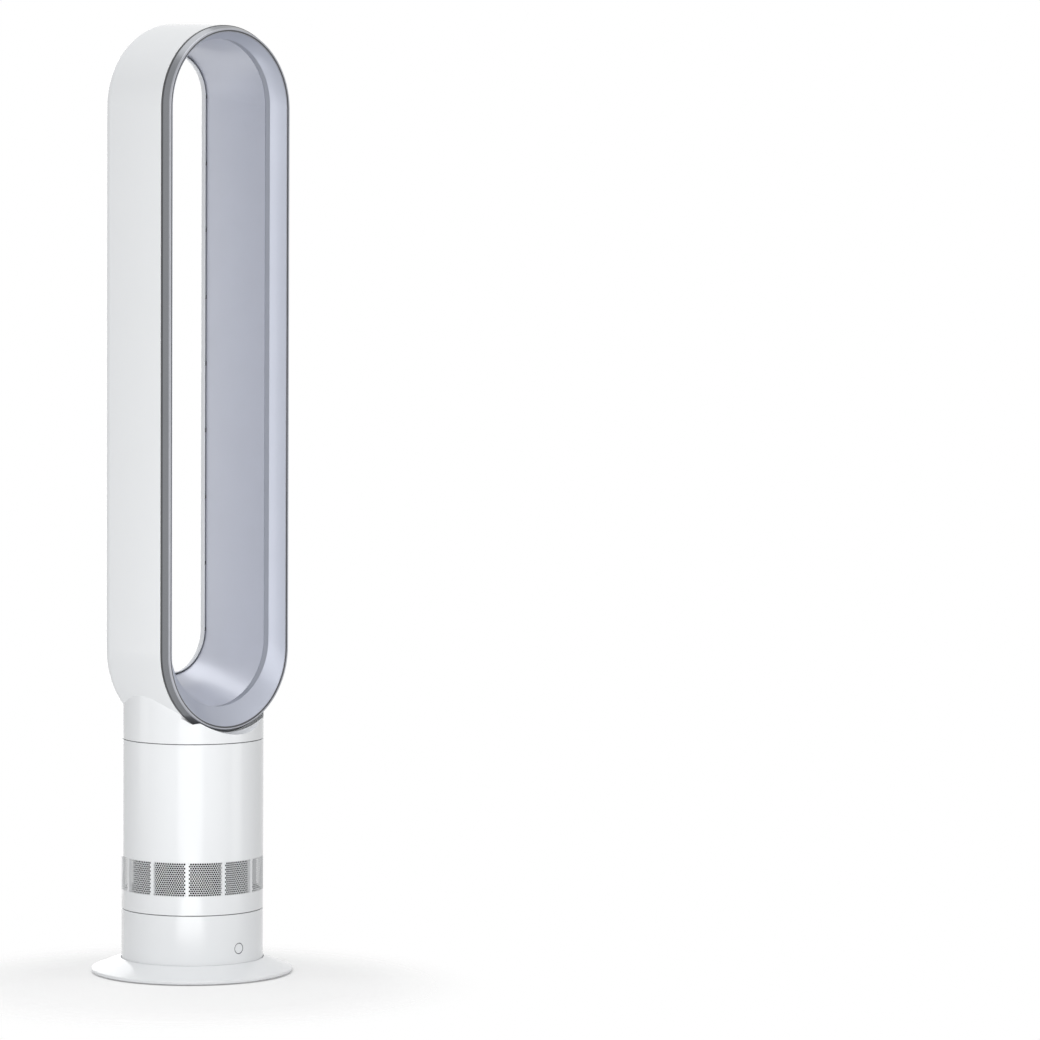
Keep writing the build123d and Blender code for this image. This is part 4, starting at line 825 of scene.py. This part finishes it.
# ---------------------------------------------------------------- air inlet
@dataclass
class InletPanels:
    """Twelve perforated panels, each with rows of fine holes in a staggered pattern.

    A cell is one hole with the plate round it. Alternate rows are mirrored and end in half a cell,
    which gives the field its toothed sides.
    """

    radius: float = 75.3
    low: float = 89.85
    height: float = 35.3
    panels: int = 12
    columns: int = 14
    rows: int = 16
    pitch: float = 2.5
    hole_radius: float = 1.12
    hole_sides: int = 8
    plate: float = 0.2
    rim: float = 0.2
    flange: float = 0.8
    flange_front: float = 72.75
    back: float = 71.55

    @property
    def field_width(self) -> float:
        """Width of a field of cells along the wall."""
        return (self.columns + 0.5) * self.pitch

    @property
    def row_height(self) -> float:
        """Height of one row of cells."""
        return (self.height - 2 * self.rim) / self.rows

    def cell(self) -> bpy.types.Object:
        """Makes one cell with its hole, standing at the front of the wall."""
        half_w, half_h = self.pitch / 2, self.row_height / 2
        edge = [
            (half_w, half_h),
            (0.0, half_h),
            (-half_w, half_h),
            (-half_w, -half_h),
            (0.0, -half_h),
            (half_w, -half_h),
        ]
        hole = bend((0.0, 0.0), self.hole_radius, 0, 360, self.hole_sides)[:-1]
        flat = edge + hole
        count = len(flat)
        points = [(x, -self.radius, z) for x, z in flat]
        points += [(x, -self.radius + self.plate, z) for x, z in flat]
        e, h = len(edge), len(edge)
        # The plate between the edge (0-5) and the hole (6-13), as triangles round the cell
        plate = [
            (0, 1, h + 2),
            (0, h + 2, h + 1),
            (1, 2, h + 3),
            (1, h + 3, h + 2),
            (2, h + 4, h + 3),
            (2, 3, h + 4),
            (3, h + 5, h + 4),
            (3, 4, h + 5),
            (4, h + 6, h + 5),
            (4, 5, h + 6),
            (5, h + 7, h + 6),
            (5, 0, h),
            (5, h, h + 7),
            (0, h + 1, h),
        ]
        behind = [tuple(count + i for i in reversed(face)) for face in plate]
        wall = []
        for i in range(self.hole_sides):
            a, b = e + i, e + (i + 1) % self.hole_sides
            wall.append((a, b, count + b, count + a))
        return hold_mesh("inlet_cell", points, plate + behind + wall)

    def half_cell(self) -> bpy.types.Object:
        """Makes the plain half cell that ends a row."""
        half_w, half_h = self.pitch / 4, self.row_height / 2
        points = [
            (x, -self.radius + depth, z)
            for depth in (0.0, self.plate)
            for x, z in ((half_w, half_h), (-half_w, half_h), (-half_w, -half_h), (half_w, -half_h))
        ]
        return hold_mesh("inlet_half_cell", points, [(0, 1, 2, 3), (7, 6, 5, 4)])

    def frame(self) -> bpy.types.Object:
        """Makes the rim and the flange round a field, with points where the cells have theirs."""
        half_w, half_h = self.field_width / 2, self.rows * self.row_height / 2
        middle = self.low + self.height / 2
        across = 2 * self.columns + 1
        path = []
        for i in range(across):
            path.append((-half_w + i * self.pitch / 2, half_h, -1.0 if i == 0 else 0.0, 1.0))
        for i in range(self.rows):
            path.append((half_w, half_h - i * self.row_height, 1.0, 1.0 if i == 0 else 0.0))
        for i in range(across):
            path.append((half_w - i * self.pitch / 2, -half_h, 1.0 if i == 0 else 0.0, -1.0))
        for i in range(self.rows):
            path.append((-half_w, -half_h + i * self.row_height, -1.0, -1.0 if i == 0 else 0.0))
        section = [
            (0.0, self.radius),
            (self.rim, self.radius),
            (self.rim, self.flange_front),
            (self.rim + self.flange, self.flange_front),
            (self.rim + self.flange, self.back),
            (0.0, self.back),
            (0.0, self.radius - self.plate),
        ]
        points = []
        for x, z, out_x, out_z in path:
            for out, radius in section:
                angle = (x + out_x * out) / self.radius
                points.append(
                    (radius * math.sin(angle), -radius * math.cos(angle), middle + z + out_z * out)
                )
        size, faces = len(section), []
        for i in range(len(path)):
            for j in range(size - 1):
                a, b = i * size + j, ((i + 1) % len(path)) * size + j
                faces.append((a, b, b + 1, a + 1))
        return hold_mesh("inlet_frame", points, faces)

    def recipe(self) -> bpy.types.NodeTree:
        """Builds the Geometry Nodes tree that lays out the cells and the panels."""
        tree, given = new_recipe(
            "inlet_panels",
            {
                "Cell": "NodeSocketObject",
                "Half Cell": "NodeSocketObject",
                "Frame": "NodeSocketObject",
                "Columns": "NodeSocketInt",
                "Rows": "NodeSocketInt",
                "Panels": "NodeSocketInt",
                "Pitch": "NodeSocketFloat",
                "Row Height": "NodeSocketFloat",
                "Radius": "NodeSocketFloat",
                "Low": "NodeSocketFloat",
                "Finish": "NodeSocketMaterial",
            },
        )
        take = given.outputs
        columns, rows, panels = take["Columns"], take["Rows"], take["Panels"]
        per_row = add_node(tree, MATH, {"operation": "ADD"}, (columns, 1.0))
        count = add_node(tree, MATH, {"operation": "MULTIPLY"}, (per_row, rows))
        points = add_node(tree, "GeometryNodePoints", inputs={"Count": count})
        index = add_node(tree, "GeometryNodeInputIndex")
        column = add_node(tree, MATH, {"operation": "MODULO"}, (index, per_row))
        rows_passed = add_node(tree, MATH, {"operation": "DIVIDE"}, (index, per_row))
        row = add_node(tree, MATH, {"operation": "FLOOR"}, (rows_passed,))
        limit = add_node(tree, MATH, {"operation": "SUBTRACT"}, (columns, 0.5))
        last = add_node(tree, MATH, {"operation": "GREATER_THAN"}, (column, limit))
        # The half cell's middle is a quarter pitch nearer than a whole cell's
        middle = add_node(tree, MATH, {"operation": "ADD"}, (column, 0.5))
        steps = add_node(tree, MATH, {"operation": "MULTIPLY_ADD"}, (last, -0.25, middle))
        field = add_node(tree, MATH, {"operation": "ADD"}, (columns, 0.5))
        half_field = add_node(tree, MATH, {"operation": "MULTIPLY"}, (field, 0.5))
        pitches = add_node(tree, MATH, {"operation": "SUBTRACT"}, (steps, half_field))
        from_middle = add_node(tree, MATH, {"operation": "MULTIPLY"}, (pitches, take["Pitch"]))
        odd = add_node(tree, MATH, {"operation": "MODULO"}, (row, 2.0))
        side = add_node(tree, MATH, {"operation": "MULTIPLY_ADD"}, (odd, -2.0, 1.0))
        arc = add_node(tree, MATH, {"operation": "MULTIPLY"}, (from_middle, side))
        angle = add_node(tree, MATH, {"operation": "DIVIDE"}, (arc, take["Radius"]))
        rise = add_node(tree, MATH, {"operation": "ADD"}, (row, 0.5))
        lifted = (rise, take["Row Height"], take["Low"])
        height = add_node(tree, MATH, {"operation": "MULTIPLY_ADD"}, lifted)
        spot = add_node(tree, "ShaderNodeCombineXYZ", inputs={"Z": height})
        turn = add_node(tree, "ShaderNodeCombineXYZ", inputs={"Z": angle})
        move = {"Geometry": points, "Position": spot}
        placed = add_node(tree, "GeometryNodeSetPosition", inputs=move)
        half_cell, cell, rim = (
            add_node(
                tree, "GeometryNodeObjectInfo", inputs={"Object": take[name], "As Instance": True}
            ).outputs["Geometry"]
            for name in ("Half Cell", "Cell", "Frame")
        )
        choice = add_node(tree, "GeometryNodeJoinGeometry")
        for kind in (half_cell, cell):
            tree.links.new(kind, choice.inputs["Geometry"])
        cells = add_node(
            tree,
            "GeometryNodeInstanceOnPoints",
            inputs={
                "Points": placed,
                "Instance": choice,
                "Pick Instance": True,
                "Instance Index": last,
                "Rotation": turn,
            },
        )
        panel = add_node(tree, "GeometryNodeJoinGeometry")
        for part in (cells.outputs["Instances"], rim):
            tree.links.new(part, panel.inputs["Geometry"])
        spread = add_node(tree, "GeometryNodePoints", inputs={"Count": panels})
        share = add_node(tree, MATH, {"operation": "DIVIDE"}, (index, panels))
        round_turn = add_node(tree, MATH, {"operation": "MULTIPLY"}, (share, 2 * math.pi))
        panel_turn = add_node(tree, "ShaderNodeCombineXYZ", inputs={"Z": round_turn})
        whole = add_node(tree, "GeometryNodeRealizeInstances", inputs={"Geometry": panel})
        ring = {"Points": spread, "Instance": whole, "Rotation": panel_turn}
        band = add_node(tree, "GeometryNodeInstanceOnPoints", inputs=ring)
        finish_recipe(tree, band, take["Finish"], 0.02)
        return tree

    def build(self, wardrobe: Wardrobe) -> bpy.types.Object:
        """Builds the panels in place of the CAD node's coarser ones.

        Args:
            wardrobe: the fan's finishes.

        Returns:
            The finished panels as one piece.
        """
        values = {
            "Cell": self.cell(),
            "Half Cell": self.half_cell(),
            "Frame": self.frame(),
            "Columns": self.columns,
            "Rows": self.rows,
            "Panels": self.panels,
            "Pitch": self.pitch * MM,
            "Row Height": self.row_height * MM,
            "Radius": self.radius * MM,
            "Low": (self.low + self.rim) * MM,
            "Finish": wardrobe.materials["white_shell"],
        }
        piece = run_recipe("inlet_perforated_panels", self.recipe(), values)
        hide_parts("inlet_mesh_panels")
        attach(piece, "tower")
        log.info("inlet panels: %d faces", len(piece.data.polygons))
        return piece


# ---------------------------------------------------------------- studio
@dataclass(frozen=True)
class Lamp:
    """One soft box. It faces the axis at its aim height, or lies flat and faces up without one.

    It stands where the camera's azimuth says, at a distance and a height in metres.
    """

    name: str
    azimuth: float
    distance: float
    height: float
    size: tuple[float, float]
    power: float
    aim_height: Optional[float] = 0.5

    def build(self) -> None:
        """Adds the lamp to the scene."""
        data = bpy.data.lights.new(self.name, "AREA")
        data.shape = "RECTANGLE"
        data.size, data.size_y = self.size
        data.energy = self.power
        lamp = bpy.data.objects.new(self.name, data)
        turn = math.radians(self.azimuth)
        across, along = math.sin(turn) * self.distance, -math.cos(turn) * self.distance
        place = Vector((across, along, self.height))
        lamp.location = place
        if self.aim_height is None:
            lamp.rotation_euler = (math.pi, 0.0, turn)
        else:
            direction = Vector((0.0, 0.0, self.aim_height)) - place
            lamp.rotation_euler = direction.to_track_quat("-Z", "Y").to_euler()
        # The front box stands between the camera and the fan
        lamp.visible_camera = False
        bpy.context.scene.collection.objects.link(lamp)


LAMPS = (
    Lamp("front_box", -44.0, 1.15, 0.6, (0.8, 1.3), 6.1, 0.6),
    Lamp("right_bank", 35.0, 1.8, 0.6, (0.6, 1.5), 3.0, 0.6),
    Lamp("left_back_bank", -125.0, 1.8, 0.8, (0.6, 1.6), 2.4, 0.75),
    Lamp("upper_left", -62.0, 0.7, 1.0, (0.3, 0.3), 0.3, 0.95),
    Lamp("back_bank", 155.0, 1.8, 0.6, (0.8, 1.5), 4.5, 0.6),
    Lamp("floor_card", -43.0, 0.65, 0.004, (0.32, 0.6), 2.2, None),
    Lamp("overhead", 0.0, 0.0, 4.0, (3.0, 3.0), 56.0),
)


@dataclass
class Studio:
    """Floor, soft lamps, world and camera."""

    floor_radius: float = 0.5
    floor_clear: float = 0.16
    floor_fade: float = 0.32
    floor_lead: float = 0.1
    floor_tone: tuple[float, float, float, float] = (0.8, 0.8, 0.8, 1.0)
    floor_lift: float = 0.22
    world_tone: tuple[float, float, float, float] = (1.0, 1.0, 1.0, 1.0)
    world_light: float = 0.37
    look_height: float = 0.4841
    look_right: float = 0.3470
    camera_distance: float = 5.326
    azimuth: float = -44.5
    elevation: float = 3.5
    roll: float = 0.34
    focal_px: float = 5018.0

    def build_floor(self) -> bpy.types.Object:
        """Makes the pale floor and returns it.

        It fades out round a spot on the camera's side of the fan, so that it is white behind.
        """
        bm = bmesh.new()
        bmesh.ops.create_circle(bm, cap_ends=True, segments=96, radius=self.floor_radius)
        mesh = bpy.data.meshes.new("studio_floor")
        bm.to_mesh(mesh)
        bm.free()
        floor = bpy.data.objects.new("studio_floor", mesh)
        bpy.context.scene.collection.objects.link(floor)
        material, tree = new_material("pale_studio_floor")
        place = add_node(tree, "ShaderNodeTexCoord")
        turn = math.radians(self.azimuth)
        spot = Vector((math.sin(turn), -math.cos(turn), 0.0)) * self.floor_lead
        reach = add_node(
            tree,
            "ShaderNodeVectorMath",
            {"operation": "DISTANCE"},
            (place.outputs["Object"], spot),
        )
        edge = {"Value": reach, "From Min": self.floor_clear, "From Max": self.floor_fade}
        fade = add_node(tree, MAP_RANGE, {"interpolation_type": "SMOOTHSTEP"}, edge)
        paint = add_node(tree, "ShaderNodeBsdfDiffuse", inputs={"Color": self.floor_tone})
        glow = {"Color": self.world_tone, "Strength": self.floor_lift}
        lift = add_node(tree, "ShaderNodeEmission", inputs=glow)
        both = add_node(tree, "ShaderNodeAddShader", inputs=(paint, lift))
        path = add_node(tree, "ShaderNodeLightPath").outputs
        rays = (path["Is Camera Ray"], path["Is Glossy Ray"])
        seen = add_node(tree, MATH, {"operation": "MAXIMUM"}, rays)
        chosen = add_node(tree, "ShaderNodeMixShader", inputs=(seen, paint, both))
        clear = add_node(tree, "ShaderNodeBsdfTransparent")
        mixed = add_node(tree, "ShaderNodeMixShader", inputs=(fade, chosen, clear))
        add_node(tree, "ShaderNodeOutputMaterial", inputs={"Surface": mixed})
        mesh.materials.append(material)
        return floor

    def build_world(self) -> None:
        """Makes a white world to look at that lights the fan softly."""
        world = bpy.data.worlds.new("studio_world")
        world.use_nodes = True
        tree = world.node_tree
        tree.nodes.clear()
        path = add_node(tree, "ShaderNodeLightPath").outputs
        rays = (path["Is Camera Ray"], path["Is Glossy Ray"])
        first = add_node(tree, MATH, {"operation": "MAXIMUM"}, rays)
        last = (first, path["Is Transmission Ray"])
        seen = add_node(tree, MATH, {"operation": "MAXIMUM"}, last)
        light = {"Value": seen, "To Min": self.world_light, "To Max": 1.0}
        strength = add_node(tree, MAP_RANGE, inputs=light)
        white = {"Color": self.world_tone, "Strength": strength}
        sky = add_node(tree, "ShaderNodeBackground", inputs=white)
        add_node(tree, "ShaderNodeOutputWorld", inputs={"Surface": sky})
        bpy.context.scene.world = world

    def build_camera(self) -> None:
        """Makes the camera at the photograph's viewing angle."""
        data = bpy.data.cameras.new("photo_camera")
        data.sensor_width = 36.0
        data.lens = data.sensor_width * self.focal_px / PHOTO_SIDE
        data.clip_end = 100.0
        camera = bpy.data.objects.new("photo_camera", data)
        turn, rise = math.radians(self.azimuth), math.radians(self.elevation)
        back = Vector(
            (
                math.sin(turn) * math.cos(rise),
                -math.cos(turn) * math.cos(rise),
                math.sin(rise),
            )
        )
        right = Vector((math.cos(turn), math.sin(turn), 0.0))
        target = right * self.look_right + Vector((0, 0, self.look_height))
        camera.rotation_mode = "QUATERNION"
        camera.location = target + back * self.camera_distance
        level = (-back).to_track_quat("-Z", "Y")
        tilt = Matrix.Rotation(math.radians(self.roll), 4, "Z").to_quaternion()
        camera.rotation_quaternion = level @ tilt
        bpy.context.scene.collection.objects.link(camera)
        bpy.context.scene.camera = camera

    def build(self) -> None:
        """Builds the whole studio."""
        bpy.context.scene.view_settings.view_transform = "Standard"
        self.build_floor()
        self.build_world()
        for lamp in LAMPS:
            lamp.build()
        self.build_camera()


def corners(bounds: tuple[Vector, Vector]) -> list[list[float]]:
    """Turns a pair of corners into plain lists.

    Args:
        bounds: the lowest and the highest corner.

    Returns:
        The same corners as lists of numbers.
    """
    return [list(corner) for corner in bounds]


def main() -> None:
    """Builds the studio and dresses the fan."""
    logging.basicConfig(level=logging.INFO, format="%(name)s: %(message)s")
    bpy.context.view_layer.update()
    Studio().build()
    log.info("studio is set")
    wardrobe = Wardrobe.make()
    wardrobe.dress(frame["record"], frame["nodes"])
    log.info("dressed %d nodes", len(frame["nodes"]))
    sweep = LoopSweep()
    FrontRing().build(sweep, wardrobe)
    InletPanels().build(wardrobe)


if __name__ == "__main__":
    main()
